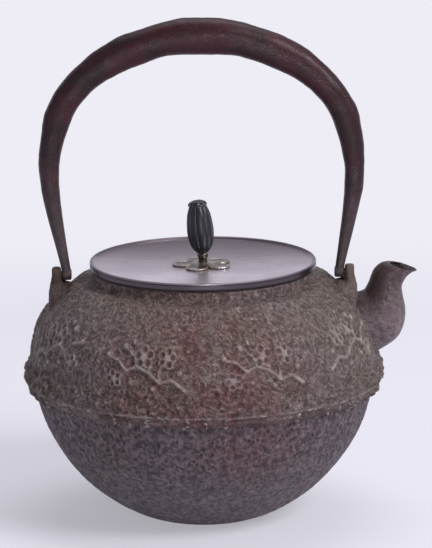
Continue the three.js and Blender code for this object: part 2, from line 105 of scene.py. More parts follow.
def coordinates(piece: bpy.types.Object) -> np.ndarray:
    """Reads a mesh's vertices.

    Args:
        piece: The mesh object.

    Returns:
        One row of x, y and z in millimetres for each vertex.
    """
    flat = np.empty(len(piece.data.vertices) * 3)
    piece.data.vertices.foreach_get("co", flat)
    return flat.reshape(-1, 3) / MM


def move_to(piece: bpy.types.Object, places: np.ndarray) -> None:
    """Moves a mesh's vertices.

    Args:
        piece: The mesh object.
        places: One row of x, y and z in millimetres for each vertex.
    """
    piece.data.vertices.foreach_set("co", (places * MM).ravel())
    piece.data.update()


def vertex_normals(piece: bpy.types.Object) -> np.ndarray:
    """Reads a mesh's vertex normals.

    Args:
        piece: The mesh object.

    Returns:
        One unit row for each vertex.
    """
    flat = np.empty(len(piece.data.vertices) * 3)
    piece.data.vertices.foreach_get("normal", flat)
    return flat.reshape(-1, 3)


def set_mask(piece: bpy.types.Object, name: str, values: np.ndarray) -> None:
    """Stores a value for each vertex, which a material reads.

    Args:
        piece: The mesh object.
        name: The attribute's name.
        values: One value for each vertex.
    """
    attribute = piece.data.attributes.new(name, "FLOAT", "POINT")
    attribute.data.foreach_set("value", values.astype(np.float32))


def smooth(piece: bpy.types.Object, angle: float = 40) -> bpy.types.Object:
    """Shades a piece smooth, but for edges sharper than an angle.

    Args:
        piece: The mesh object.
        angle: The sharpest smooth edge, in degrees.

    Returns:
        The same object.
    """
    deselect_all()
    piece.select_set(True)
    bpy.context.view_layer.objects.active = piece
    bpy.ops.object.shade_smooth_by_angle(angle=math.radians(angle))
    return piece


def spin_piece(name: str, profile: np.ndarray, steps: int, closed: bool = True) -> bpy.types.Object:
    """Extrudes a profile from one vertex, spins it into a wedge and spins copies of the wedge all round.

    Args:
        name: The piece's name.
        profile: Rows of radius and height.
        steps: How many columns the spin makes, a multiple of the wedges.
        closed: Whether the profile's end joins its start. Otherwise both ends lie on the axis.

    Returns:
        The new mesh object, closed, with its faces pointing out.
    """
    deselect_all()
    start = profile[0]
    bpy.ops.mesh.primitive_plane_add(size=MM, location=(0, 0, 0))
    piece = named(name)
    bpy.ops.object.mode_set(mode="EDIT")
    bpy.ops.mesh.merge(type="CENTER")
    bpy.ops.transform.translate(value=(start[0] * MM, 0, start[1] * MM))
    for before, after in zip(profile[:-1], profile[1:]):
        step = ((after[0] - before[0]) * MM, 0, (after[1] - before[1]) * MM)
        bpy.ops.mesh.extrude_region_move(TRANSFORM_OT_translate={"value": step})
    if closed:
        edit = bmesh.from_edit_mesh(piece.data)
        edit.verts.ensure_lookup_table()
        edit.verts[0].select = True
        bmesh.update_edit_mesh(piece.data)
        bpy.ops.mesh.edge_face_add()
    bpy.ops.mesh.select_all(action="SELECT")
    bpy.ops.mesh.spin(steps=steps // WEDGES, angle=TAU / WEDGES, center=(0, 0, 0), axis=(0, 0, 1))
    bpy.ops.mesh.select_all(action="SELECT")
    bpy.ops.mesh.spin(
        steps=WEDGES - 1, angle=TAU * (WEDGES - 1) / WEDGES, dupli=True, center=(0, 0, 0), axis=(0, 0, 1)
    )
    bpy.ops.mesh.select_all(action="SELECT")
    bpy.ops.mesh.remove_doubles(threshold=0.0005 * MM)
    bpy.ops.mesh.select_all(action="SELECT")
    bpy.ops.mesh.normals_make_consistent(inside=False)
    bpy.ops.object.mode_set(mode="OBJECT")
    return piece


def loft_piece(name: str, rings: np.ndarray, capped: bool = True) -> bpy.types.Object:
    """Bends a grid into a tube through rings of points.

    Args:
        name: The piece's name.
        rings: Rings of equal length, as an array of rings, points and x, y, z.
        capped: Whether the two ends are filled. Otherwise the last ring joins the first.

    Returns:
        The new mesh object, closed, with its faces pointing out.
    """
    if not capped:
        rings = np.concatenate([rings, rings[:1]])
    wrapped = np.concatenate([rings, rings[:, :1]], axis=1)
    rows, columns = wrapped.shape[:2]
    deselect_all()
    bpy.ops.mesh.primitive_grid_add(x_subdivisions=columns - 1, y_subdivisions=rows - 1, size=1)
    piece = named(name)
    move_to(piece, wrapped.reshape(-1, 3))
    bpy.ops.object.mode_set(mode="EDIT")
    bpy.ops.mesh.select_all(action="SELECT")
    bpy.ops.mesh.remove_doubles(threshold=0.0005 * MM)
    if capped:
        bpy.ops.mesh.select_mode(type="EDGE")
        bpy.ops.mesh.select_all(action="DESELECT")
        bpy.ops.mesh.select_non_manifold(extend=False, use_verts=False)
        bpy.ops.mesh.fill_holes(sides=0)
        bpy.ops.mesh.select_mode(type="VERT")
    bpy.ops.mesh.select_all(action="SELECT")
    bpy.ops.mesh.normals_make_consistent(inside=False)
    bpy.ops.object.mode_set(mode="OBJECT")
    return piece


def round_bar(name: str, start: Vector, end: Vector, radius: float, bevel: float = 0.4) -> bpy.types.Object:
    """Adds a round bar with rounded ends.

    Args:
        name: The piece's name.
        start: The middle of one end.
        end: The middle of the other end.
        radius: The bar's radius.
        bevel: The width of the rounding at its ends.

    Returns:
        The new mesh object.
    """
    deselect_all()
    way = end - start
    turn = way.to_track_quat("Z", "Y").to_euler()
    bpy.ops.mesh.primitive_cylinder_add(
        vertices=48, radius=radius * MM, depth=way.length * MM, location=(start + end) * MM / 2, rotation=turn
    )
    piece = named(name)
    bpy.ops.object.transform_apply(location=True, rotation=True, scale=True)
    if bevel > 0:
        rounding = piece.modifiers.new("rounding", "BEVEL")
        rounding.width = bevel * MM
        rounding.segments = 3
        rounding.limit_method = "ANGLE"
        apply_modifier(piece, rounding)
    return piece


def apply_modifier(piece: bpy.types.Object, modifier: bpy.types.Modifier) -> None:
    """Applies a modifier to its piece.

    Args:
        piece: The mesh object.
        modifier: The modifier to apply.
    """
    deselect_all()
    piece.select_set(True)
    bpy.context.view_layer.objects.active = piece
    bpy.ops.object.modifier_apply(modifier=modifier.name)


def combine(piece: bpy.types.Object, other: bpy.types.Object, operation: str) -> None:
    """Joins or cuts a piece by another, which is used up.

    Args:
        piece: The mesh object that stays.
        other: The mesh object that is used up.
        operation: UNION or DIFFERENCE.
    """
    cut = piece.modifiers.new("cut", "BOOLEAN")
    cut.operation = operation
    cut.object = other
    cut.solver = "EXACT"
    apply_modifier(piece, cut)
    bpy.data.objects.remove(other)


def ramp(values: np.ndarray, low: float, high: float) -> np.ndarray:
    """Eases from 0 at low to 1 at high.

    Args:
        values: The values to ease.
        low: Where the result is 0.
        high: Where the result is 1.

    Returns:
        The eased values.
    """
    share = np.clip((values - low) / (high - low), 0, 1)
    return share * share * (3 - 2 * share)


def perlin(places: np.ndarray, cell: float, shift: float = 0) -> np.ndarray:
    """Smooth noise at each place.

    Args:
        places: Rows of x, y and z.
        cell: The noise's cell size.
        shift: An offset that gives another pattern.

    Returns:
        Values of about -0.7 to 0.7.
    """
    scaled = (places / cell + shift).tolist()
    return np.array([noise.noise(row) for row in scaled])


def ridges(values: np.ndarray, width: float) -> np.ndarray:
    """Raised lines where a noise crosses zero.

    Args:
        values: The noise.
        width: How far from zero the lines reach.

    Returns:
        Heights from 0 to 1.
    """
    return 1 - ramp(np.abs(values), 0, width)


def scatter(index: float) -> float:
    """A repeatable value from 0 to 1, as the frame's skirt uses it.

    Args:
        index: The number of a side or cell.

    Returns:
        The value.
    """
    s = math.sin(index * 12.9898 + 4.1) * 43758.5453
    return s - math.floor(s)


def ring_about(centre: np.ndarray, across: np.ndarray, along: np.ndarray, turns: np.ndarray,
               power: float) -> np.ndarray:
    """Points of an oval ring.

    Args:
        centre: The ring's middle.
        across: From the middle to the ring at turn 0.
        along: From the middle to the ring at a quarter turn.
        turns: The angles of the points.
        power: 1 for an ellipse, less for a squarer ring.

    Returns:
        One row for each point.
    """
    cosine = np.sign(np.cos(turns)) * np.abs(np.cos(turns)) ** power
    sine = np.sign(np.sin(turns)) * np.abs(np.sin(turns)) ** power
    return centre + np.outer(cosine, across) + np.outer(sine, along)


def catmull(points: np.ndarray, shares: np.ndarray) -> np.ndarray:
    """A smooth line through rows of values.

    Args:
        points: Rows that the line passes through, evenly spread from 0 to 1.
        shares: Where on the line to read it, from 0 to 1.

    Returns:
        One row for each share.
    """
    last = len(points) - 1
    spot = np.clip(shares * last, 0, last - 1e-9)
    i = spot.astype(int)
    t = (spot - i)[:, None]
    before = points[np.maximum(i - 1, 0)]
    a, b = points[i], points[i + 1]
    after = points[np.minimum(i + 2, last)]
    return 0.5 * (2 * a + (b - before) * t + (2 * before - 5 * a + 4 * b - after) * t**2
                  + (3 * a - before - 3 * b + after) * t**3)


# Node helpers.


def linear(colour: str) -> tuple[float, float, float, float]:
    """Turns a written screen colour into the values that a shader takes.

    Args:
        colour: Six hexadecimal digits.

    Returns:
        Red, green, blue and an alpha of 1.
    """
    parts = [int(colour[i : i + 2], 16) / 255 for i in (0, 2, 4)]
    scene = [p / 12.92 if p <= 0.04045 else ((p + 0.055) / 1.055) ** 2.4 for p in parts]
    return (*scene, 1.0)


class Graph:
    """Builds a node tree, one call for each node."""

    def __init__(self, tree: bpy.types.NodeTree) -> None:
        """Keeps the tree that the nodes go into.

        Args:
            tree: A material's, world's or group's node tree.
        """
        self.tree = tree

    def node(self, kind: str, **settings: str | bool | float) -> bpy.types.Node:
        """Adds a node and sets its properties.

        Args:
            kind: The node's type name without its ShaderNode prefix.
            settings: Properties of the node.

        Returns:
            The node.
        """
        made = self.tree.nodes.new("ShaderNode" + kind)
        for key, value in settings.items():
            setattr(made, key, value)
        return made

    def feed(self, socket: bpy.types.NodeSocket, value: Input) -> None:
        """Links a socket into another, or sets its value.

        Args:
            socket: The input.
            value: An output socket, a number, a vector or a colour.
        """
        if isinstance(value, bpy.types.NodeSocket):
            self.tree.links.new(value, socket)
        else:
            socket.default_value = value

    def math(self, operation: str, first: Input, second: Input = 0.0) -> bpy.types.NodeSocket:
        """Adds a Math node.

        Args:
            operation: The node's operation.
            first: Its first input.
            second: Its second input.

        Returns:
            Its output.
        """
        made = self.node("Math", operation=operation)
        self.feed(made.inputs[0], first)
        self.feed(made.inputs[1], second)
        return made.outputs[0]

    def remap(self, value: Input, low: float, high: float, to_low: Input = 0.0,
              to_high: Input = 1.0) -> bpy.types.NodeSocket:
        """Maps a value smoothly from one range to another.

        Args:
            value: The socket to map.
            low: The start of its range.
            high: The end of its range.
            to_low: The result at low.
            to_high: The result at high.

        Returns:
            The output socket.
        """
        made = self.node("MapRange", interpolation_type="SMOOTHSTEP")
        for socket, number in zip(made.inputs[:5], (value, low, high, to_low, to_high)):
            self.feed(socket, number)
        return made.outputs["Result"]

    def mix(self, share: Input, first: Input, second: Input) -> bpy.types.NodeSocket:
        """Mixes two colours.

        Args:
            share: How much of the second colour shows.
            first: A colour or socket.
            second: A colour or socket.

        Returns:
            The mixed colour's socket.
        """
        made = self.node("Mix", data_type="RGBA")
        self.feed(made.inputs[0], share)
        self.feed(made.inputs[6], first)
        self.feed(made.inputs[7], second)
        return made.outputs[2]

    def noise(self, place: Input, scale: Input, detail: float = 3.0,
              roughness: float = 0.55) -> bpy.types.NodeSocket:
        """Adds a Noise Texture.

        Args:
            place: The coordinate socket.
            scale: Cells per metre.
            detail: How many octaves it has.
            roughness: How strong the finer octaves are.

        Returns:
            The noise's value.
        """
        made = self.node("TexNoise")
        self.feed(made.inputs["Vector"], place)
        self.feed(made.inputs["Scale"], scale)
        made.inputs["Detail"].default_value = detail
        made.inputs["Roughness"].default_value = roughness
        return made.outputs[0]

    def object_place(self) -> bpy.types.NodeSocket:
        """The place on the object, in its own coordinates."""
        return self.node("TexCoord").outputs["Object"]

    def attribute(self, name: str) -> bpy.types.NodeSocket:
        """The value of a mesh attribute.

        Args:
            name: The attribute's name.

        Returns:
            Its value's socket.
        """
        return self.node("Attribute", attribute_name=name).outputs["Fac"]


def new_group(name: str, inputs: dict[str, str], outputs: dict[str, str]) -> tuple[Graph, dict, dict]:
    """Starts a shader node group.

    Args:
        name: The group's name.
        inputs: Input names and their socket kinds.
        outputs: Output names and their socket kinds.

    Returns:
        The group's graph, its inputs by name and its outputs by name.
    """
    tree = bpy.data.node_groups.new(name, "ShaderNodeTree")
    for label, kind in inputs.items():
        tree.interface.new_socket(name=label, in_out="INPUT", socket_type="NodeSocket" + kind)
    for label, kind in outputs.items():
        tree.interface.new_socket(name=label, in_out="OUTPUT", socket_type="NodeSocket" + kind)
    graph = Graph(tree)
    given = tree.nodes.new("NodeGroupInput")
    result = tree.nodes.new("NodeGroupOutput")
    return graph, {s.name: s for s in given.outputs}, {s.name: s for s in result.inputs}


def build_grain_group() -> bpy.types.NodeTree:
    """Builds the fine grain of a cast or forged surface.

    Returns:
        A group that puts out the grain's value and a height for a Bump node.
    """
    graph, given, result = new_group(
        "grain", {"Place": "Vector", "Scale": "Float", "Pits": "Float"}, {"Value": "Float", "Height": "Float"}
    )
    fine = graph.noise(given["Place"], given["Scale"], 4, 0.6)
    coarse = graph.noise(given["Place"], graph.math("MULTIPLY", given["Scale"], 0.3), 2, 0.5)
    pits = graph.node("TexVoronoi", feature="F1")
    graph.feed(pits.inputs["Vector"], given["Place"])
    graph.feed(pits.inputs["Scale"], graph.math("MULTIPLY", given["Scale"], 0.5))
    hollow = graph.remap(pits.outputs["Distance"], 0.05, 0.3, -1.0, 0.0)
    both = graph.math("ADD", graph.math("MULTIPLY", fine, 0.6), graph.math("MULTIPLY", coarse, 0.6))
    graph.feed(result["Height"], graph.math("ADD", both, graph.math("MULTIPLY", hollow, given["Pits"])))
    graph.feed(result["Value"], fine)
    return graph.tree


def build_patina_group() -> bpy.types.NodeTree:
    """Builds the patina of old metal: broad patches of two colours, with a third one in fine flecks.

    Returns:
        A group that puts out a colour, the patches' mask and the flecks' mask.
    """
    inputs = {
        "Place": "Vector", "Scale": "Float", "Fine": "Float", "First": "Color", "Second": "Color",
        "Fleck": "Color", "Flecks": "Float",
    }
    graph, given, result = new_group("patina", inputs, {"Colour": "Color", "Mask": "Float", "Fleck": "Float"})
    broad = graph.remap(graph.noise(given["Place"], given["Scale"], 5, 0.65), 0.36, 0.64)
    fleck = graph.remap(graph.noise(given["Place"], given["Fine"], 3, 0.6), 0.54, 0.74)
    fleck = graph.math("MULTIPLY", fleck, given["Flecks"])
    base = graph.mix(broad, given["First"], given["Second"])
    graph.feed(result["Colour"], graph.mix(fleck, base, given["Fleck"]))
    graph.feed(result["Mask"], broad)
    graph.feed(result["Fleck"], fleck)
    return graph.tree


def build_skin_group() -> bpy.types.NodeTree:
    """Builds a cast skin: fine raised worms on a coarser one, dark in the hollows and worn pale on top.

    Returns:
        A group that puts out a colour, a roughness and a height for a Bump node.
    """
    inputs = {
        "Place": "Vector", "Scale": "Float", "Coarse": "Float", "Calm": "Float", "Pits": "Float",
        "Base": "Color", "Hollow": "Color", "Worn": "Color", "Depth": "Float", "Wear": "Float",
    }
    graph, given, result = new_group("skin", inputs, {"Colour": "Color", "Roughness": "Float", "Height": "Float"})
    worm = graph.node("TexNoise")
    graph.feed(worm.inputs["Vector"], given["Place"])
    graph.feed(worm.inputs["Scale"], given["Scale"])
    worm.inputs["Detail"].default_value = 1.5
    worm.inputs["Distortion"].default_value = 1.3
    off = graph.math("ABSOLUTE", graph.math("SUBTRACT", worm.outputs[0], 0.5))
    ridge = graph.remap(off, 0.0, 0.085, 1.0, 0.0)
    grain = graph.noise(given["Place"], graph.math("MULTIPLY", given["Scale"], 3.1), 2.5, 0.6)
    cells = graph.node("TexVoronoi", feature="F1")
    graph.feed(cells.inputs["Vector"], given["Place"])
    graph.feed(cells.inputs["Scale"], graph.math("MULTIPLY", given["Scale"], 0.62))
    chosen = graph.node("SeparateColor")
    graph.feed(chosen.inputs[0], cells.outputs["Color"])
    pit = graph.math("MULTIPLY", graph.remap(cells.outputs["Distance"], 0.12, 0.4, 1.0, 0.0),
                     graph.remap(chosen.outputs[0], 0.45, 0.6))
    pit = graph.math("MULTIPLY", pit, given["Pits"])
    ridge = graph.math("MULTIPLY", ridge, given["Calm"])
    fine = graph.math("ADD", graph.math("MULTIPLY", ridge, 0.6), graph.math("MULTIPLY", grain, 0.4))
    graph.feed(result["Height"], graph.math("SUBTRACT", fine, pit))
    both = graph.math("ADD", graph.math("MULTIPLY", given["Coarse"], 0.45), graph.math("MULTIPLY", fine, 0.55))
    deep = graph.math("MULTIPLY", graph.remap(both, 0.2, 0.46, 1.0, 0.0), given["Depth"])
    deep = graph.math("MAXIMUM", deep, graph.math("MULTIPLY", pit, 0.9))
    top = graph.math("MULTIPLY", graph.remap(both, 0.44, 0.78), given["Wear"])
    colour = graph.mix(deep, given["Base"], given["Hollow"])
    graph.feed(result["Colour"], graph.mix(top, colour, given["Worn"]))
    graph.feed(result["Roughness"], graph.remap(both, 0.2, 0.8, 0.78, 0.44))
    return graph.tree


@dataclass
class Groups:
    """The node groups that several finishes share."""

    grain: bpy.types.NodeTree = field(default_factory=build_grain_group)
    patina: bpy.types.NodeTree = field(default_factory=build_patina_group)
    skin: bpy.types.NodeTree = field(default_factory=build_skin_group)


class Finish:
    """A material with a Principled shader and the shared groups."""

    def __init__(self, name: str, groups: Groups) -> None:
        """Starts the material.

        Args:
            name: The material's name.
            groups: The shared node groups.
        """
        self.material = bpy.data.materials.new(name)
        self.material.use_nodes = True
        self.graph = Graph(self.material.node_tree)
        self.shader = self.material.node_tree.nodes["Principled BSDF"]
        self.groups = groups
        self.place = self.graph.object_place()

    def group(self, tree: bpy.types.NodeTree, **values: Input) -> dict[str, bpy.types.NodeSocket]:
        """Places a shared group.

        Args:
            tree: The group's tree.
            values: Its inputs.

        Returns:
            Its outputs by name.
        """
        made = self.graph.node("Group")
        made.node_tree = tree
        for label, value in values.items():
            self.graph.feed(made.inputs[label], value)
        return {s.name: s for s in made.outputs}

    def set(self, **values: Input) -> None:
        """Sets or links the shader's inputs, with an underscore for each space in a name.

        Args:
            values: The inputs by name.
        """
        for label, value in values.items():
            self.graph.feed(self.shader.inputs[label.replace("_", " ")], value)

    def bump(self, height: Input, strength: float, distance: float) -> None:
        """Links a height into the shader's normal.

        Args:
            height: The height's socket.
            strength: The bump's strength.
            distance: The height of a full step, in millimetres.
        """
        made = self.graph.node("Bump")
        made.inputs["Strength"].default_value = strength
        made.inputs["Distance"].default_value = distance * MM
        self.graph.feed(made.inputs["Height"], height)
        self.set(Normal=made.outputs["Normal"])


@dataclass(frozen=True)
class SkinIron:
    """Cast iron with a raised skin, two patinas, a patch of red rust, darker places of painted shade, and pale
    rubbed edges that are partly painted highlight, with painted light towards the bowl's foot.
    """

    name: str
    first: str
    second: str
    fleck: str
    hollow: str
    worn: str
    rust: str
    bare_and_lit: str
    rust_centre: tuple[float, float, float]
    rust_reach: float
    rust_share: float = 0.6
    shade: str = "48332f"
    scale: float = 28.0
    worm_scale: float = 640.0
    pits: float = 0.5
    depth: float = 0.8
    wear: float = 0.65
    height: float = 0.8
    upright: float = 1.0
    metallic: float = 0.3

    def rust_mask(self, finish: Finish) -> bpy.types.NodeSocket:
        """The ragged patch of rust round its centre.

        Args:
            finish: The finish under construction.

        Returns:
            A mask's socket.
        """
        graph = finish.graph
        away = graph.node("VectorMath", operation="DISTANCE")
        graph.feed(away.inputs[0], finish.place)
        graph.feed(away.inputs[1], self.rust_centre)
        near = graph.remap(away.outputs["Value"], self.rust_reach * 0.2, self.rust_reach, 1.0, 0.0)
        ragged = graph.remap(graph.noise(finish.place, 95.0, 4, 0.65), 0.28, 0.62)
        return graph.math("MULTIPLY", graph.math("MULTIPLY", near, ragged), self.rust_share)

    def make(self, groups: Groups) -> bpy.types.Material:
        """Builds the material.

        Args:
            groups: The shared node groups.

        Returns:
            The material.
        """
        finish = Finish(self.name, groups)
        graph = finish.graph
        patina = finish.group(
            groups.patina, Place=finish.place, Scale=self.scale, Fine=400.0, First=linear(self.first),
            Second=linear(self.second), Fleck=linear(self.fleck), Flecks=0.35,
        )
        base = graph.mix(self.rust_mask(finish), patina["Colour"], linear(self.rust))
        # Darker and browner where the shade mask is set: painted shade on the left ear and between the skirt's
        # stubs.
        base = graph.mix(graph.attribute("shade"), base, linear(self.shade))
        stretched = graph.node("VectorMath", operation="MULTIPLY")
        graph.feed(stretched.inputs[0], finish.place)
        graph.feed(stretched.inputs[1], (1.0, 1.0, self.upright))
        skin = finish.group(
            groups.skin, Place=stretched.outputs[0], Scale=self.worm_scale, Coarse=graph.attribute("skin"),
            Calm=graph.attribute("calm"), Pits=self.pits, Base=base, Hollow=linear(self.hollow),
            Worn=linear(self.worn), Depth=self.depth, Wear=self.wear,
        )
        # Pale metal where the mask is set: rubbed edges on the shell's stubs, brow and relief that are partly
        # painted highlight, and painted light towards the bowl's foot.
        colour = graph.mix(graph.attribute("wear"), skin["Colour"], linear(self.bare_and_lit))
        finish.set(Base_Color=colour, Roughness=skin["Roughness"], Metallic=self.metallic)
        finish.bump(skin["Height"], 1.0, self.height)
        return finish.material


@dataclass(frozen=True)
class PlainIron:
    """Smoother iron, cast or forged, with a fine grain, flecks, a dark patch round one place that is partly stain
    and partly painted shade, and painted shade inside a bore.
    """

    name: str
    first: str
    second: str
    fleck: str
    scale: float = 60.0
    fine: float = 1300.0
    flecks: float = 0.3
    grain_scale: float = 1100.0
    grain_height: float = 0.2
    roughness: tuple[float, float] = (0.5, 0.7)
    metallic: float = 0.35
    shine: float = 0.5
    mottle: float = 0.2
    mottle_scale: float = 420.0
    dark: str = "1f1918"
    stain: str = "3d2824"
    stain_and_shade_centre: tuple[float, float, float] = (0.0, 0.0, 0.0)
    stain_and_shade_reach: float = 0.001
    low: str = "4c4345"
    low_heights: tuple[float, float] | None = None

    def greyer_end(self, finish: Finish, colour: Input) -> bpy.types.NodeSocket:
        """Greys the colour towards the lower end of an upright piece.

        Args:
            finish: The finish under construction.
            colour: The colour so far.

        Returns:
            The new colour's socket.
        """
        graph = finish.graph
        split = graph.node("SeparateXYZ")
        graph.feed(split.inputs[0], finish.place)
        ragged = graph.math("MULTIPLY", graph.noise(finish.place, 120.0, 4, 0.6), 0.03)
        height = graph.math("ADD", split.outputs[2], ragged)
        share = graph.remap(height, self.low_heights[0], self.low_heights[1], 0.75, 0.0)
        return graph.mix(share, colour, linear(self.low))

    def make(self, groups: Groups) -> bpy.types.Material:
        """Builds the material.

        Args:
            groups: The shared node groups.

        Returns:
            The material.
        """
        finish = Finish(self.name, groups)
        graph = finish.graph
        patina = finish.group(
            groups.patina, Place=finish.place, Scale=self.scale, Fine=self.fine, First=linear(self.first),
            Second=linear(self.second), Fleck=linear(self.fleck), Flecks=self.flecks,
        )
        # A dark patch round one place; on the spout it is partly brown stain and partly painted shade on its upper
        # left near the root.
        away = graph.node("VectorMath", operation="DISTANCE")
        graph.feed(away.inputs[0], finish.place)
        graph.feed(away.inputs[1], self.stain_and_shade_centre)
        near = graph.remap(away.outputs["Value"], self.stain_and_shade_reach * 0.3, self.stain_and_shade_reach, 0.9, 0.0)
        colour = graph.mix(near, patina["Colour"], linear(self.stain))
        if self.low_heights:
            colour = self.greyer_end(finish, colour)
        uneven = graph.remap(graph.noise(finish.place, self.mottle_scale, 4, 0.65), 0.34, 0.62, self.mottle, 0.0)
        colour = graph.mix(uneven, colour, linear(self.dark))
        # Painted shade: dark inside the spout's bore.
        colour = graph.mix(graph.attribute("bore"), colour, linear(self.dark))
        grain = finish.group(groups.grain, Place=finish.place, Scale=self.grain_scale, Pits=0.35)
        rough = graph.remap(grain["Value"], 0.3, 0.7, *self.roughness)
        finish.set(Base_Color=colour, Roughness=rough, Metallic=self.metallic, Specular_IOR_Level=self.shine)
        height = graph.math("ADD", grain["Height"], graph.math("MULTIPLY", patina["Fleck"], 0.6))
        finish.bump(height, 0.8, self.grain_height)
        return finish.material


@dataclass(frozen=True)
class SatinMetal:
    """Patinated bronze or pale alloy with a soft shine and faint broad stains."""

    name: str
    first: str
    second: str
    fleck: str
    hollow: str = "3b3d44"
    scale: float = 30.0
    fine: float = 900.0
    flecks: float = 0.15
    roughness: tuple[float, float] = (0.24, 0.36)
    metallic: float = 0.9
    grain_scale: float = 500.0
    grain_height: float = 0.02

    def make(self, groups: Groups) -> bpy.types.Material:
        """Builds the material.

        Args:
            groups: The shared node groups.

        Returns:
            The material.
        """
        finish = Finish(self.name, groups)
        graph = finish.graph
        patina = finish.group(
            groups.patina, Place=finish.place, Scale=self.scale, Fine=self.fine, First=linear(self.first),
            Second=linear(self.second), Fleck=linear(self.fleck), Flecks=self.flecks,
        )
        colour = graph.mix(graph.attribute("hollow"), patina["Colour"], linear(self.hollow))
        grain = finish.group(groups.grain, Place=finish.place, Scale=self.grain_scale, Pits=0.0)
        rough = graph.remap(patina["Mask"], 0.0, 1.0, *self.roughness)
        finish.set(Base_Color=colour, Roughness=rough, Metallic=self.metallic)
        finish.bump(grain["Height"], 0.4, self.grain_height)
        return finish.material


@dataclass(frozen=True)
class LidBronze:
    """The lid's patinated bronze: a satin face with faint streaks and a painted shade that darkens it towards the
    back, and a darker side.
    """

    face: str = "eee4ed"
    stain: str = "d8cdd7"
    side: str = "544d54"
    fleck: str = "9a8d96"
    painted_back_shade: str = "756a73"
    streak_turn: float = 0.5

    def make(self, groups: Groups) -> bpy.types.Material:
        """Builds the material.

        Args:
            groups: The shared node groups.

        Returns:
            The material.
        """
        finish = Finish("lid_bronze", groups)
        graph = finish.graph
        patina = finish.group(
            groups.patina, Place=finish.place, Scale=26.0, Fine=900.0, First=linear(self.face),
            Second=linear(self.stain), Fleck=linear(self.fleck), Flecks=0.25,
        )
        stretch = graph.node("Mapping")
        stretch.inputs["Rotation"].default_value = (0, 0, self.streak_turn)
        stretch.inputs["Scale"].default_value = (22, 260, 60)
        graph.feed(stretch.inputs["Vector"], finish.place)
        streak = graph.noise(stretch.outputs[0], 1.0, 3, 0.6)
        faint = graph.math("MULTIPLY", graph.remap(streak, 0.45, 0.75), 0.35)
        face = graph.mix(faint, patina["Colour"], linear(self.stain))
        # Painted shade: the face darkens towards the back of the lid.
        split = graph.node("SeparateXYZ")
        graph.feed(split.inputs[0], finish.place)
        towards_back = graph.math("ADD", split.outputs[1], graph.math("MULTIPLY", streak, 0.016))
        face = graph.mix(graph.remap(towards_back, -0.03, 0.056, 0.0, 0.92), face, linear(self.painted_back_shade))
        colour = graph.mix(graph.attribute("side"), face, linear(self.side))
        grain = finish.group(groups.grain, Place=finish.place, Scale=160.0, Pits=0.0)
        rough = graph.math("ADD", graph.remap(patina["Mask"], 0.0, 1.0, 0.26, 0.32),
                           graph.math("MULTIPLY", streak, 0.1))
        finish.set(Base_Color=colour, Roughness=rough, Metallic=0.95)
        finish.bump(grain["Height"], 0.12, 0.015)
        return finish.material


@dataclass
class Finishes:
    """Every finish of the kettle."""

    groups: Groups

    def __post_init__(self) -> None:
        """Builds the materials."""
        self.shell = SkinIron(
            "shell_iron", "64564f", "6a5b5d", "857a76", "2f2727", "a69b97", "66393b", "ada4a2",
            rust_centre=(-0.002, -0.079, 0.076), rust_reach=0.068, rust_share=0.85, pits=0.35, depth=0.66,
            wear=0.48, worm_scale=560.0,
        ).make(self.groups)
        self.bowl = SkinIron(
            "bowl_iron", "685a63", "625459", "7d7079", "2a2229", "968890", "6a4145", "a9a2a6",
            rust_centre=(0.022, -0.076, 0.050), rust_reach=0.038, worm_scale=960.0, pits=1.25, depth=0.85, wear=0.5,
            height=0.6, upright=0.42,
        ).make(self.groups)
        self.cast = PlainIron(
            "spout_iron", "80707a", "66545a", "c6bab6", scale=45.0, fine=1300.0, flecks=0.95, grain_scale=800.0,
            grain_height=0.7, roughness=(0.34, 0.6), mottle=0.55, stain_and_shade_centre=(0.071, -0.012, 0.115),
            stain_and_shade_reach=0.036, stain="2c100b",
        ).make(self.groups)
        self.forged = PlainIron(
            "forged_iron", "381620", "241418", "43302f", scale=60.0, fine=1600.0, flecks=0.45,
            grain_scale=1300.0, grain_height=0.2, roughness=(0.28, 0.48), metallic=0.15, shine=0.26, mottle=0.4,
            low_heights=(0.13, 0.19),
        ).make(self.groups)
        self.bronze = LidBronze().make(self.groups)
        self.bud = SatinMetal(
            "bud_black", "2c2d34", "212228", "4e4e58", scale=120.0, roughness=(0.3, 0.4), metallic=0.45,
            grain_scale=900.0,
        ).make(self.groups)
        self.pale = SatinMetal(
            "washer_pale", "b4acad", "968779", "5a483c", hollow="4a4240", scale=220.0, flecks=0.5,
            roughness=(0.26, 0.4), grain_scale=900.0,
        ).make(self.groups)
        self.stem = SatinMetal("stem_brown", "5c524e", "453d3b", "2c2724", scale=200.0).make(self.groups)
        self.lacquer = PlainIron("seal_lacquer", "1d1512", "2a1d17", "3a2c22", metallic=0.0).make(self.groups)


@dataclass
class Maker:
    """Finishes each piece: material, body and node."""

    made: list[str] = field(default_factory=list)

    def settle(self, piece: bpy.types.Object, finish: bpy.types.Material, body: Body, node: str,
               slot: str) -> None:
        """Gives a piece its finish and its place in the frame.

        Args:
            piece: The finished mesh object.
            finish: Its material.
            body: The body that it rides on.
            node: The node that it stands for.
            slot: The record's material slot; not used.
        """
        piece.data.materials.clear()
        piece.data.materials.append(finish)
        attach(piece, body.value)
        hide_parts(node)
        piece.data.calc_loop_triangles()
        count = len(piece.data.loop_triangles)
        self.made.append(piece.name)
        log.info("%s rides on %s for %s, %d triangles", piece.name, body.value, node, count)


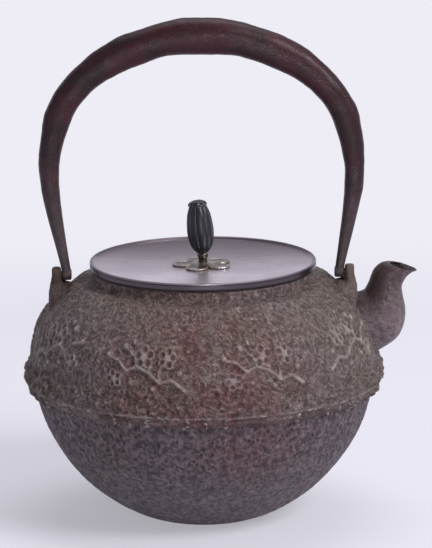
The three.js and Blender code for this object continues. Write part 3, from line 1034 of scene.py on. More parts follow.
@dataclass(frozen=True)
class BodySizes:
    """Sizes of the two castings, in millimetres."""

    bowl_radius: float = 79.0
    bowl_wall: float = 3.0
    base_radius: float = 28.0
    shoulder_wall: float = 3.0
    shoulder_rise: float = 35.5
    neck_rise: float = 5.4
    neck_flare: float = 7.8
    neck_slope: float = 40.0
    neck_pull: float = 13.0
    side_pull: float = 19.0
    rim_outer: float = 50.8
    rim_width: float = 4.0
    lap_gap: float = 0.25
    seal_height: float = 1.3
    lap_height: float = 13.2
    skirt_swell: float = 3.4
    skirt_face: float = 5.2
    skirt_start: float = 2.2

    @property
    def equator(self) -> float:
        """Height of the bowl's widest ring."""
        return math.sqrt(self.bowl_radius**2 - self.base_radius**2)

    @property
    def neck_foot(self) -> float:
        """Height of the neck's foot."""
        return self.equator + self.shoulder_rise

    @property
    def rim_top(self) -> float:
        """Height of the mouth's rim."""
        return self.neck_foot + self.neck_rise

    @property
    def bowl_rim(self) -> float:
        """Height of the bowl's rim."""
        return self.equator - 2.9

    @property
    def ledge(self) -> float:
        """Height of the ledge over the bowl's rim."""
        return self.bowl_rim + self.seal_height

    @property
    def skirt_bottom(self) -> float:
        """Height of the skirt's lowest edge."""
        return self.ledge - self.lap_height

    def shoulder(self, grow: float, count: int) -> np.ndarray:
        """Points of the shoulder from the widest ring to the neck.

        Args:
            grow: How far out the line is moved.
            count: How many points it has.

        Returns:
            Rows of radius and height.
        """
        slope = math.radians(self.neck_slope)
        foot = np.array([self.rim_outer + self.neck_flare, self.neck_foot])
        corners = np.array([
            [self.bowl_radius, self.equator],
            [self.bowl_radius, self.equator + self.side_pull],
            foot + self.neck_pull * np.array([math.cos(slope), -math.sin(slope)]),
            foot,
        ])
        t = np.linspace(0, 1, count)[:, None]
        line = ((1 - t) ** 3 * corners[0] + 3 * (1 - t) ** 2 * t * corners[1]
                + 3 * (1 - t) * t**2 * corners[2] + t**3 * corners[3])
        along = np.gradient(line, axis=0)
        along /= np.linalg.norm(along, axis=1)[:, None]
        return line + grow * np.stack([along[:, 1], -along[:, 0]], axis=1)

    def shoulder_height(self, radius: float) -> float:
        """Height of the shoulder's outside at a radius.

        Args:
            radius: The distance from the axis.

        Returns:
            The height.
        """
        line = self.shoulder(0, 400)
        return float(np.interp(-radius, -line[:, 0], line[:, 1]))

    def sphere(self, radius: float, start: float, end: float, count: int) -> np.ndarray:
        """Points of a sphere's outline, centred at the widest ring.

        Args:
            radius: The sphere's radius.
            start: The first point's height.
            end: The last point's height.
            count: How many points there are.

        Returns:
            Rows of radius and height.
        """
        turns = np.linspace(
            math.asin((start - self.equator) / radius), math.asin((end - self.equator) / radius), count
        )
        return np.stack([radius * np.cos(turns), self.equator + radius * np.sin(turns)], axis=1)


def resample(line: np.ndarray, step: float) -> np.ndarray:
    """Spreads points evenly along a line.

    Args:
        line: Rows of radius and height.
        step: The distance between points.

    Returns:
        The new rows, with the same two ends.
    """
    along = np.concatenate([[0], np.cumsum(np.linalg.norm(np.diff(line, axis=0), axis=1))])
    count = max(2, round(along[-1] / step) + 1)
    spots = np.linspace(0, along[-1], count)
    return np.stack([np.interp(spots, along, line[:, k]) for k in (0, 1)], axis=1)


@dataclass(frozen=True)
class PlumSprig:
    """A raised sprig of plum blossom, in millimetres from its own middle."""

    branch: tuple[tuple[float, float], ...] = (
        (-19, -9), (-13, -4.5), (-7.5, -6), (-2, -1.5), (3.5, 0.5), (8.5, -1.5), (13, 2.5), (18, 3.5),
    )
    twigs: tuple[tuple[tuple[float, float], ...], ...] = (
        ((-7.5, -6), (-7, -1), (-10.5, 4), (-10, 7)), ((3.5, 0.5), (5, 4.5), (9.5, 7.5)),
        ((8.5, -1.5), (12, -5.5), (15.5, -6.5)), ((-2, -1.5), (-3.5, 3)),
    )
    blossoms: tuple[tuple[float, float, float], ...] = ((-10.5, 4.5, 4.6), (0.5, 4.6, 5.0), (14.5, -5.5, 4.2))
    buds: tuple[tuple[float, float, float], ...] = (
        (10.6, 8.3, 1.7), (18.6, 4.2, 1.6), (6, -6.5, 1.4), (-4.5, -8.6, 1.6), (-16.5, -1.5, 1.6),
        (6.6, 10.2, 1.2),
    )

    def stroke(self, u: np.ndarray, v: np.ndarray, line: tuple, width: float) -> np.ndarray:
        """A raised stroke that thins towards its end.

        Args:
            u: Places along the band.
            v: Places up the band.
            line: The stroke's points.
            width: Half its width at its start.

        Returns:
            Its height from 0 to 1.
        """
        height = np.zeros_like(u)
        for i, (a, b) in enumerate(zip(line[:-1], line[1:])):
            du, dv = b[0] - a[0], b[1] - a[1]
            t = np.clip(((u - a[0]) * du + (v - a[1]) * dv) / (du * du + dv * dv), 0, 1)
            away = np.hypot(u - a[0] - t * du, v - a[1] - t * dv)
            reach = width * (1 - 0.4 * (i + t) / (len(line) - 1))
            height = np.maximum(height, ramp(reach * 1.5 - away, 0, reach))
        return height

    def flower(self, u: np.ndarray, v: np.ndarray, radius: float, turn: float) -> np.ndarray:
        """A raised five-petalled blossom.

        Args:
            u: Places along the band, from its middle.
            v: Places up the band, from its middle.
            radius: The blossom's radius.
            turn: The angle of its first petal.

        Returns:
            Its height from 0 to 1.
        """
        petal = 0.4 * radius
        edge = np.full_like(u, 1e3)
        for k in range(5):
            a = turn + TAU * k / 5
            reach = radius - petal
            edge = np.minimum(edge, np.hypot(u - reach * math.cos(a), v - reach * math.sin(a)) - petal)
        outline = np.exp(-((edge + 0.2) / 0.48) ** 2)
        inside = 0.22 * ramp(-edge, -0.2, 0.6)
        heart = ramp(0.24 * radius - np.hypot(u, v), -0.3, 0.3)
        return np.maximum(np.maximum(outline, inside), heart)

    def height(self, u: np.ndarray, v: np.ndarray) -> np.ndarray:
        """The whole sprig's height.

        Args:
            u: Places along the band.
            v: Places up the band.

        Returns:
            Heights from 0 to 1.
        """
        total = self.stroke(u, v, self.branch, 0.9)
        for twig in self.twigs:
            total = np.maximum(total, 0.9 * self.stroke(u, v, twig, 0.6))
        for i, (cu, cv, radius) in enumerate(self.blossoms):
            total = np.maximum(total, self.flower(u - cu, v - cv, radius, 0.5 + i))
        for cu, cv, radius in self.buds:
            total = np.maximum(total, ramp(radius - np.hypot(u - cu, v - cv), -0.3, radius * 0.6))
        return total


@dataclass
class Castings:
    """The shoulder shell with its skirt and relief, the bowl, and the seal between them."""

    maker: Maker
    finishes: Finishes
    sizes: BodySizes = field(default_factory=BodySizes)
    columns: int = 720
    row_step: float = 0.68
    skirt_sides: int = 60
    chip_depth: float = 1.5
    chip_lift: float = 1.5
    worm_cell: float = 2.2
    worm_height: float = 0.42
    lump_height: float = 0.6
    tooth_height: float = 1.4
    pebble_height: float = 0.26
    relief_height: float = 1.15
    sprigs: int = 9
    band_middle: float = 87.0

    def shell_profile(self) -> tuple[np.ndarray, np.ndarray]:
        """The shell's outline, closed.

        Returns:
            Rows of radius and height, and how much skin each one carries.
        """
        s = self.sizes
        brow = s.bowl_radius + s.skirt_swell
        face_top = s.skirt_bottom + s.skirt_face
        lean = s.equator + s.skirt_start - face_top
        lap = s.sphere(s.bowl_radius + s.lap_gap, s.ledge - 0.5, s.skirt_bottom, 8)
        face = resample(np.array([
            [brow - 1.7, s.skirt_bottom], [brow - 0.4, s.skirt_bottom + 0.9], [brow - 0.1, face_top - 0.4],
        ]), 0.48)
        brow_line = catmull(np.array([
            [brow + 0.1, face_top], [brow, face_top + lean * 0.25],
            [brow - s.skirt_swell * 0.13, face_top + lean * 0.45],
            [brow - s.skirt_swell * 0.6, face_top + lean * 0.72], [s.bowl_radius, face_top + lean],
        ]), np.linspace(0, 1, 40))
        shoulder = s.shoulder(0, 300)
        shoulder = shoulder[shoulder[:, 1] > s.equator + s.skirt_start + 0.5]
        neck = np.array([
            [s.rim_outer + s.neck_flare * 0.62, s.neck_foot + s.neck_rise * 0.03],
            [s.rim_outer + s.neck_flare * 0.3, s.neck_foot + s.neck_rise * 0.08],
            [s.rim_outer + s.neck_flare * 0.1, s.neck_foot + s.neck_rise * 0.25],
            [s.rim_outer, s.neck_foot + s.neck_rise * 0.5], [s.rim_outer, s.rim_top - 0.5],
        ])
        outside = resample(np.concatenate([brow_line, shoulder, neck]), self.row_step)
        inside = np.concatenate([
            [[s.rim_outer - 0.5, s.rim_top], [s.rim_outer - s.rim_width + 0.3, s.rim_top],
             [s.rim_outer - s.rim_width, s.rim_top - 0.3],
             [s.rim_outer - s.rim_width, s.neck_foot - s.shoulder_wall]],
            s.shoulder(-s.shoulder_wall, 9)[::-1],
            [[s.bowl_radius - s.bowl_wall, s.ledge], [s.bowl_radius + s.lap_gap, s.ledge]],
        ])
        skin = np.concatenate([
            np.zeros(len(lap)), np.full(len(face), 0.35), np.ones(len(outside)), np.zeros(len(inside)),
        ])
        return np.concatenate([lap, face, outside, inside]), skin

    def bowl_profile(self) -> tuple[np.ndarray, np.ndarray]:
        """The bowl's outline, from the axis under it to the axis in it.

        Returns:
            Rows of radius and height, and how much skin each one carries.
        """
        s = self.sizes
        foot = np.array([
            [0, 0], [4, 0], [8, 0], [8.15, 0.5], [9.05, 0.5], [9.2, 0], [15, 0], [21, 0], [s.base_radius - 1, 0],
        ])
        outside = resample(s.sphere(s.bowl_radius, 0.3, s.bowl_rim, 400), 0.74)
        inside = s.sphere(s.bowl_radius - s.bowl_wall, s.bowl_wall + 0.02, s.bowl_rim, 14)[::-1]
        end = np.array([[0, s.bowl_wall]])
        skin = np.concatenate([np.zeros(len(foot)), np.ones(len(outside)), np.zeros(len(inside) + 1)])
        return np.concatenate([foot, outside, inside, end]), skin

    def skin_share(self, places: np.ndarray, profile: np.ndarray, skin: np.ndarray) -> np.ndarray:
        """Looks up how much skin each vertex carries.

        Args:
            places: The vertices.
            profile: Rows of radius and height.
            skin: The skin of each row.

        Returns:
            One value for each vertex.
        """
        radius = np.hypot(places[:, 0], places[:, 1])
        share = np.empty(len(places))
        for start in range(0, len(places), 20000):
            part = slice(start, start + 20000)
            away = (radius[part, None] - profile[None, :, 0]) ** 2
            away += (places[part, 2, None] - profile[None, :, 1]) ** 2
            share[part] = skin[np.argmin(away, axis=1)]
        return share

    def worms(self, places: np.ndarray) -> np.ndarray:
        """The coarse worms of the shell's skin.

        Args:
            places: The vertices.

        Returns:
            Heights from 0 to 1.
        """
        drift = np.stack([perlin(places, 6.0, 10.0 * k + 3.7) for k in range(3)], axis=1)
        bent = places + 2.2 * drift
        return 0.6 * ridges(perlin(bent, self.worm_cell), 0.34) + 0.4 * (0.5 + perlin(bent, 1.7, 31.4))

    def relief(self, places: np.ndarray) -> np.ndarray:
        """The raised band of plum sprigs round the shoulder.

        Args:
            places: The vertices.

        Returns:
            Heights from 0 to 1.
        """
        turn = np.arctan2(places[:, 1], places[:, 0])
        height = np.zeros(len(places))
        sprig = PlumSprig()
        for k in range(self.sprigs):
            middle = -math.pi / 2 + TAU * (k + 0.5) / self.sprigs
            away = (turn - middle + math.pi) % TAU - math.pi
            u = away * self.sizes.bowl_radius * (1 if k % 2 else -1)
            v = places[:, 2] - self.band_middle - (1.5 if k % 2 else -1.5)
            near = (np.abs(u) < 24) & (np.abs(v) < 14)
            part = sprig.height(u[near], v[near])
            height[near] = np.maximum(height[near], part)
        return height

    def skirt_break(self, places: np.ndarray) -> tuple[np.ndarray, np.ndarray]:
        """Where the skirt's edge has broken away, as shallow scallops between stubs.

        Args:
            places: The shell's vertices.

        Returns:
            How far each column is broken, and how much of a stub stands there, both from 0 to 1.
        """
        jitter = 0.5 * perlin(places * [1, 1, 0], 9.0, 5.2) + 0.12 * perlin(places, 1.9, 33.3)
        side = (np.arctan2(places[:, 1], places[:, 0]) % TAU) / TAU * self.skirt_sides + jitter
        cell = np.floor(side).astype(int)
        share = side - cell
        near = np.where(share < 0.5, cell, cell + 1)
        depth_at = np.array([0.45 + 0.55 * scatter(c + 3) for c in range(self.skirt_sides)])
        stub_at = np.array([float(scatter(c + 91) > 0.3) for c in range(self.skirt_sides)])
        stub_size = np.array([0.05 + 0.08 * scatter(c + 17) for c in range(self.skirt_sides)])
        edge = np.minimum(share, 1 - share)
        stub = stub_at[near % self.skirt_sides]
        size = stub_size[near % self.skirt_sides]
        stub = stub * (1 - ramp(edge - size, -0.03, 0.05))
        return depth_at[cell % self.skirt_sides] * (1 - stub), stub

    def teeth(self, places: np.ndarray) -> np.ndarray:
        """The rough teeth under the shell's widest ring.

        Args:
            places: The shell's vertices.

        Returns:
            Heights from about -0.5 to 0.5.
        """
        s = self.sizes
        where = ramp(s.equator + 3 - places[:, 2], 0, 4)
        where *= ramp(places[:, 2], s.skirt_bottom - 1, s.skirt_bottom + 2)
        rough = 0.6 * ridges(perlin(places * [0.8, 0.8, 1.3], 3.3, 55.0), 0.3)
        rough += 0.5 * perlin(places, 2.2, 61.0) + 0.55 * perlin(places * [0.3, 0.3, 1.5], 3.0, 83.0)
        return where * (rough - 0.3)

    def shade_mask(self, places: np.ndarray) -> np.ndarray:
        """Where the shell is darker and browner: round the ears and up the neck.

        Args:
            places: Vertices of the shell or of an ear.

        Returns:
            A mask from 0 to 1.
        """
        s = self.sizes
        across = np.abs(places[:, 1]) / 13.0
        along = (np.abs(places[:, 0]) - s.bowl_radius + 14.0) / 11.0
        uneven = 0.25 * perlin(places, 5.0, 71.0)
        near_ear = ramp(1.25 - np.hypot(across, along) + uneven, 0, 0.6) * (places[:, 2] > s.equator + 15)
        return np.clip(0.75 * near_ear + 0.15 * ramp(places[:, 2], s.neck_foot - 0.5, s.neck_foot + 1.5), 0, 1)

    def break_skirt(self, places: np.ndarray, broken: np.ndarray) -> np.ndarray:
        """Breaks the skirt's lower edge away.

        Args:
            places: The shell's vertices.
            broken: How far each one is broken.

        Returns:
            The moved vertices.
        """
        s = self.sizes
        radius = np.hypot(places[:, 0], places[:, 1])
        face_top = s.skirt_bottom + s.skirt_face
        outer = radius > s.bowl_radius + s.lap_gap + 0.3
        on_face = outer * ramp(face_top - 0.1 - places[:, 2], 0, 0.9)
        low = ramp(s.skirt_bottom + 3.0 - places[:, 2], 0, 3.0)
        pull = on_face * self.chip_depth * (0.25 + broken) * (0.65 + 0.35 * low)
        moved = places.copy()
        moved[:, :2] *= (1 - pull / radius)[:, None]
        near = (radius > s.bowl_radius - 0.1) & (places[:, 2] < s.ledge - 1)
        moved[:, 2] += near * low * self.chip_lift * broken
        return moved

    def make_shell(self) -> None:
        """Makes the shoulder shell."""
        profile, skin = self.shell_profile()
        shell = spin_piece("shoulder_casting", profile, self.columns)
        places = coordinates(shell)
        normals = vertex_normals(shell)
        share = self.skin_share(places, profile, skin)
        s = self.sizes
        calm = 1 - 0.3 * ramp(places[:, 2], s.neck_foot - 0.5, s.neck_foot + 1.5)
        worms = self.worms(places)
        relief = self.relief(places) * share
        foot = ramp(relief, 0.0, 0.15) * (1 - ramp(relief, 0.15, 0.45))
        near_relief = ramp(relief, 0.0, 0.3)
        low = ramp(s.equator + 10 - places[:, 2], 0, 10) * ramp(places[:, 2], s.skirt_bottom, s.skirt_bottom + 3)
        height = share * calm * self.worm_height * (worms - 0.4) * (1 - 0.65 * near_relief)
        height += share * (0.25 * perlin(places, 14.0, 8.8) + self.lump_height * low * perlin(places, 4.6, 17.7))
        height += share * self.tooth_height * self.teeth(places) * (1 - near_relief)
        height += self.relief_height * relief
        broken, stub = self.skirt_break(places)
        move_to(shell, self.break_skirt(places + normals * height[:, None], broken))
        on_face = ramp(s.skirt_bottom + s.skirt_face - places[:, 2], 0, 1.2) * (share > 0.2)
        # The skin tone, darkened at the foot of the relief: painted shadow beside the strokes.
        tone = 0.5 + 1.1 * (worms - 0.42) * share * (1 - 0.6 * near_relief) + 0.3 * near_relief - 0.45 * foot
        tone += on_face * (1.1 * (broken - 0.55) + 0.35 * perlin(places, 3.1, 77.0))
        set_mask(shell, "skin", np.clip(tone, 0, 1))
        set_mask(shell, "calm", calm * (1 - 0.6 * near_relief) * (0.35 + 0.65 * share))
        # Painted shade in the gaps between the skirt's stubs, laid through the shade mask.
        gaps = 0.6 * on_face * (1 - stub) * (places[:, 2] < s.skirt_bottom + s.skirt_face - 0.8)
        set_mask(shell, "shade", np.maximum(self.shade_mask(places), gaps))
        brow = np.exp(-(((places[:, 2] - s.skirt_bottom - s.skirt_face) / 0.45) ** 2)) * (share > 0.5)
        chipped = ramp(perlin(places, 2.6, 40.0), -0.15, 0.25)
        sparse = ramp(perlin(places, 1.1, 43.0), 0.0, 0.3)
        # Pale marks on the stubs, along the brow and on the relief's ridges: partly rubbed metal, partly painted
        # highlight.
        worn = 0.75 * stub * on_face * sparse + 0.6 * brow * (0.3 + 0.7 * chipped)
        worn += 0.5 * ramp(relief, 0.55, 0.95) * (0.45 + 0.55 * chipped)
        set_mask(shell, "wear", np.clip(worn, 0, 1))
        smooth(shell, 42)
        self.maker.settle(shell, self.finishes.shell, Body.KETTLE, "shoulder_shell", "cast_iron")

    def make_bowl(self) -> None:
        """Makes the bowl."""
        profile, skin = self.bowl_profile()
        bowl = spin_piece("pebbled_bowl", profile, 672, closed=False)
        places = coordinates(bowl)
        normals = vertex_normals(bowl)
        share = self.skin_share(places, profile, skin)
        share *= ramp(places[:, 2], 0.0, 3.0)
        drift = np.stack([perlin(places, 5.0, 7.0 * k + 1.3) for k in range(3)], axis=1)
        pebbles = 0.5 + 0.9 * perlin(places + 1.5 * drift, 1.8, 2.2)
        under_lap = ramp(self.sizes.skirt_bottom + 2 - places[:, 2], 0, 3)
        height = share * under_lap * (self.pebble_height * pebbles + 0.2 * perlin(places, 16.0, 3.3))
        move_to(bowl, places + normals * height[:, None])
        set_mask(bowl, "skin", np.clip(0.46 + 0.8 * share * (pebbles - 0.5), 0, 1))
        set_mask(bowl, "calm", 0.25 + 0.5 * share)
        # Painted light: the bowl is paler towards its foot, standing in for light thrown up by the floor.
        set_mask(bowl, "wear", 0.12 * ramp(50 - places[:, 2], 0, 36))
        smooth(bowl, 60)
        self.maker.settle(bowl, self.finishes.bowl, Body.KETTLE, "lower_bowl", "old_iron")

    def make_seal(self) -> None:
        """Makes the seal in the lap joint."""
        s = self.sizes
        inner, outer = s.bowl_radius - s.bowl_wall + 0.3, s.bowl_radius - 0.3
        low, high = s.bowl_rim + 0.15, s.ledge - 0.15
        profile = np.array([
            [inner, low + 0.2], [inner + 0.2, low], [outer - 0.2, low], [outer, low + 0.2], [outer, high - 0.2],
            [outer - 0.2, high], [inner + 0.2, high], [inner, high - 0.2],
        ])
        seal = smooth(spin_piece("lacquer_ring", profile, 240))
        self.maker.settle(seal, self.finishes.lacquer, Body.KETTLE, "lap_seal", "lacquer")

    def build(self) -> None:
        """Makes the three pieces."""
        self.make_shell()
        self.make_bowl()
        self.make_seal()


@dataclass
class Spout:
    """The spout, with its bore and flared lip."""

    maker: Maker
    finishes: Finishes
    sizes: BodySizes = field(default_factory=BodySizes)
    reach: float = 19.1
    rise: float = 42.6
    half_breadth: float = 13.6
    wall_root: float = 3.0
    wall_lip: float = 0.65
    mouth_shift: float = 0.9
    rings: int = 56
    around: int = 72
    # Each section: its upper end's share of reach and rise, its lower end's, and its share of the half breadth.
    sections: tuple[tuple[float, ...], ...] = (
        (-0.68, 0.643, -0.105, -0.014, 1.0),
        (-0.304, 0.685, 0.471, 0.141, 0.956),
        (-0.204, 0.737, 0.686, 0.298, 0.882),
        (-0.141, 0.796, 0.738, 0.474, 0.765),
        (-0.089, 0.859, 0.675, 0.634, 0.654),
        (-0.031, 0.918, 0.649, 0.737, 0.588),
        (0.063, 0.965, 0.749, 0.829, 0.537),
        (0.157, 0.991, 0.88, 0.883, 0.515),
        (0.246, 1.0, 0.995, 0.904, 0.507),
    )

    def section_ring(self, row: np.ndarray, inset: float, turns: np.ndarray) -> np.ndarray:
        """Points of one section of the spout.

        Args:
            row: The section's shares.
            inset: How far inside the outer skin it lies.
            turns: The angles of its points.

        Returns:
            One row for each point.
        """
        upper = np.array([row[0] * self.reach, 0, row[1] * self.rise])
        lower = np.array([row[2] * self.reach, 0, row[3] * self.rise])
        middle = (upper + lower) / 2 + [self.sizes.bowl_radius, 0, self.sizes.equator]
        half = (upper - lower) / 2
        half *= 1 - inset / np.linalg.norm(half)
        return ring_about(middle, half, np.array([0, -(row[4] * self.half_breadth - inset), 0]), turns, 1.0)

    def build(self) -> None:
        """Makes the spout as one skin that runs up outside, over the lip and down inside."""
        turns = np.linspace(0, TAU, self.around, endpoint=False)
        shares = np.linspace(0, 1, self.rings)
        rows = catmull(np.array(self.sections), shares)
        outside = [self.section_ring(row, 0, turns) for row in rows]
        walls = self.wall_root + (self.wall_lip - self.wall_root) * shares
        near_lip = ramp(shares, 0.72, 1.0)
        inside = []
        for row, wall, share in zip(rows, walls, near_lip):
            length = np.array([(row[2] - row[0]) * self.reach, 0, (row[3] - row[1]) * self.rise])
            size = float(np.linalg.norm(length))
            length /= size
            ring = self.section_ring(row, wall, turns)
            middle = ring.mean(axis=0)
            along = (ring - middle) @ length
            shift = self.mouth_shift * share
            ring += np.outer(shift - along * 2 * shift / size, length)
            inside.append(ring)
        way = outside[-1].mean(axis=0) - outside[-2].mean(axis=0)
        way /= np.linalg.norm(way)
        lips = []
        for share, rise in ((0.12, 0.26), (0.38, 0.42), (0.7, 0.3), (0.92, 0.08)):
            lips.append(outside[-1] + (inside[-1] - outside[-1]) * share + way * rise)
        spout = loft_piece("cast_spout", np.array([*outside, *lips, *inside[::-1]]), capped=False)
        places = coordinates(spout)
        normals = vertex_normals(spout)
        uneven = 0.16 * perlin(places, 9.0, 4.4) + 0.07 * perlin(places, 2.2, 9.1)
        middles = np.array([ring.mean(axis=0) for ring in outside])
        nearest = middles[np.argmin(((places[:, None] - middles[None]) ** 2).sum(axis=2), axis=1)]
        inner = ((places - nearest) * normals).sum(axis=1) < 0
        # Painted shade: marks the inside of the bore near the mouth for darkening.
        set_mask(spout, "bore", inner * ramp(places[:, 0], 86.0, 91.0) * 0.9)
        move_to(spout, places + normals * uneven[:, None])
        smooth(spout, 50)
        self.maker.settle(spout, self.finishes.cast, Body.KETTLE, "spout", "cast_iron")


@dataclass
class Ears:
    """The two ears that carry the handle's pins."""

    maker: Maker
    finishes: Finishes
    sizes: BodySizes = field(default_factory=BodySizes)
    pivot_inset: float = 16.6
    pivot_rise: float = 6.1
    tip_depth: float = 4.0
    gap: float = 0.7
    thickness: float = 4.4
    crown: float = 3.5
    neck: float = 4.5
    foot: float = 12.0
    root: float = 9.0
    flare: float = 2.4
    mound: float = 6.6
    mound_drop: float = 2.9
    pin_hole: float = 1.95
    eye_room: float = 2.74
    clear_slope: float = 0.41
    leg_lean: float = 0.24
    voxel: float = 0.42

    @property
    def pivot_radius(self) -> float:
        """Distance of the pivots from the kettle's axis."""
        return self.sizes.bowl_radius - self.pivot_inset

    @property
    def pivot_height(self) -> float:
        """Height of the pivots."""
        return self.sizes.shoulder_height(self.pivot_radius) + self.pivot_rise

    @property
    def inner(self) -> float:
        """Distance of the ear's inner face from the kettle's axis."""
        return self.pivot_radius + self.tip_depth / 2 + self.gap

    def loft(self, name: str, rows: list[tuple[float, ...]], side: Side) -> bpy.types.Object:
        """Lofts a form through level rings beside the kettle's axis.

        Args:
            name: The piece's name.
            rows: Inner and outer distance from the axis, half length and height of each ring.
            side: The side of the kettle.

        Returns:
            The new mesh object.
        """
        fine = catmull(np.array(rows), np.linspace(0, 1, 60))
        turns = np.linspace(0, TAU, 48, endpoint=False)
        made = []
        for inner, outer, length, height in fine:
            made.append(ring_about(
                np.array([(inner + outer) / 2, 0, height]), np.array([(outer - inner) / 2, 0, 0]),
                np.array([0, length, 0]), turns, 0.66,
            ))
        return loft_piece(name, np.array(made) * [side.value, side.value, 1])

    def make_stem(self, side: Side) -> bpy.types.Object:
        """Makes the upright part, which widens towards its foot.

        Args:
            side: The side of the kettle.

        Returns:
            The new mesh object.
        """
        foot, top = self.pivot_height - self.pivot_rise, self.pivot_height
        rows = (
            (-2.0, 0.65, self.foot - 2, foot - self.root), (-2.0, 0.6, self.foot - 3, foot - 2.4),
            (-1.8, 0.5, self.foot - 4.6, foot), (-1.2, 0.4, self.neck + 1.5, foot + 1.1),
            (-0.6, 0.3, self.neck + 0.5, foot + 1.9), (0, 0.2, self.neck + 0.1, foot + 2.8),
            (0, 0, self.neck, top), (0, 0, self.neck * 0.95, top + self.crown * 0.45),
            (0.2, -0.04, self.neck * 0.78, top + self.crown * 0.8), (1.0, -0.4, self.neck * 0.4, top + self.crown),
        )
        outer = self.inner + self.thickness
        made = [(self.inner + a, outer + b * self.flare, half, height) for a, b, half, height in rows]
        return self.loft(f"ear_{side.name.lower()}", made, side)

    def make_saddle(self, side: Side) -> bpy.types.Object:
        """Makes the low saddle that joins the ear to the kettle's neck.

        Args:
            side: The side of the kettle.

        Returns:
            The new mesh object.
        """
        ridge = self.pivot_height - self.mound_drop + 0.6
        rows = (
            (0, self.foot, self.root + 3), (0, self.foot - 1, 5.8), (0, self.foot - 3.2, 3.6),
            (0, self.foot - 5.8, 2.4), (0, self.foot - 8.0, 1.0), (0.1, self.foot - 9.6, -0.7),
            (0.2, self.foot - 10.6, -1.8),
        )
        made = [(self.inner - self.mound + a, self.inner + 1, half, ridge - drop) for a, half, drop in rows]
        return self.loft("saddle", made, side)

    def cast(self, ear: bpy.types.Object, side: Side) -> None:
        """Rounds an ear as a casting, bores it, roughens it and ends it in the shell's wall.

        Args:
            ear: The joined stem and saddle.
            side: The side of the kettle.
        """
        skin = ear.modifiers.new("skin", "REMESH")
        skin.mode = "VOXEL"
        skin.voxel_size = self.voxel * MM
        apply_modifier(ear, skin)
        round_off = ear.modifiers.new("round_off", "SMOOTH")
        round_off.factor = 0.6
        round_off.iterations = 7
        apply_modifier(ear, round_off)
        x = side.value * (self.inner + self.thickness / 2)
        hole = round_bar(
            "ear_hole", Vector((x - 6, 0, self.pivot_height)), Vector((x + 6, 0, self.pivot_height)),
            self.pin_hole, bevel=0,
        )
        combine(ear, hole, "DIFFERENCE")
        places = coordinates(ear)
        rough = 0.22 * perlin(places, 3.4, 6.1) + 0.1 * perlin(places, 1.6, 26.1)
        rough *= ramp(np.hypot(places[:, 1], places[:, 2] - self.pivot_height), 2.0, 3.2)
        places += vertex_normals(ear) * rough[:, None]
        line = self.sizes.shoulder(0, 400)
        radius = np.hypot(places[:, 0], places[:, 1])
        wall = np.interp(-radius, -line[:, 0], line[:, 1]) - 1.6
        places[:, 2] = np.maximum(places[:, 2], wall)
        out = np.hypot(places[:, 1], places[:, 2] - self.pivot_height)
        face = np.maximum(self.inner, self.inner - 0.55 + self.leg_lean * out)
        inwards = face - np.abs(places[:, 0])
        clear = self.pivot_height - self.eye_room - self.clear_slope * np.abs(places[:, 1])
        clear -= 0.42 * ramp(inwards, 2.6, 6.0) * inwards
        swept = (inwards > 0) & (places[:, 2] > clear)
        near = inwards < self.voxel
        places[:, 0] = np.where(swept & near, side.value * face, places[:, 0])
        places[:, 2] = np.where(swept & ~near, clear, places[:, 2])
        move_to(ear, places)

    def build(self) -> None:
        """Makes both ears."""
        nodes = {Side.RIGHT: "right_lug", Side.LEFT: "left_lug"}
        for side, node in nodes.items():
            ear = self.make_stem(side)
            combine(ear, self.make_saddle(side), "UNION")
            self.cast(ear, side)
            places = coordinates(ear)
            rise = ramp(places[:, 2], self.pivot_height - 5.0, self.pivot_height - 1.5)
            # Painted shade: the left ear is darker and its skin tone lower than the right's, as light falls from
            # the right.
            base, tone = (0.6, 0.45) if side is Side.LEFT else (0.02, 0.62)
            set_mask(ear, "skin", np.full(len(places), tone))
            set_mask(ear, "calm", 0.7 - 0.6 * rise)
            set_mask(ear, "shade", base + 0.35 * rise + 0.5 * perlin(places, 4.0, 15.0))
            smooth(ear, 40)
            self.maker.settle(ear, self.finishes.shell, Body.KETTLE, node, "cast_iron")


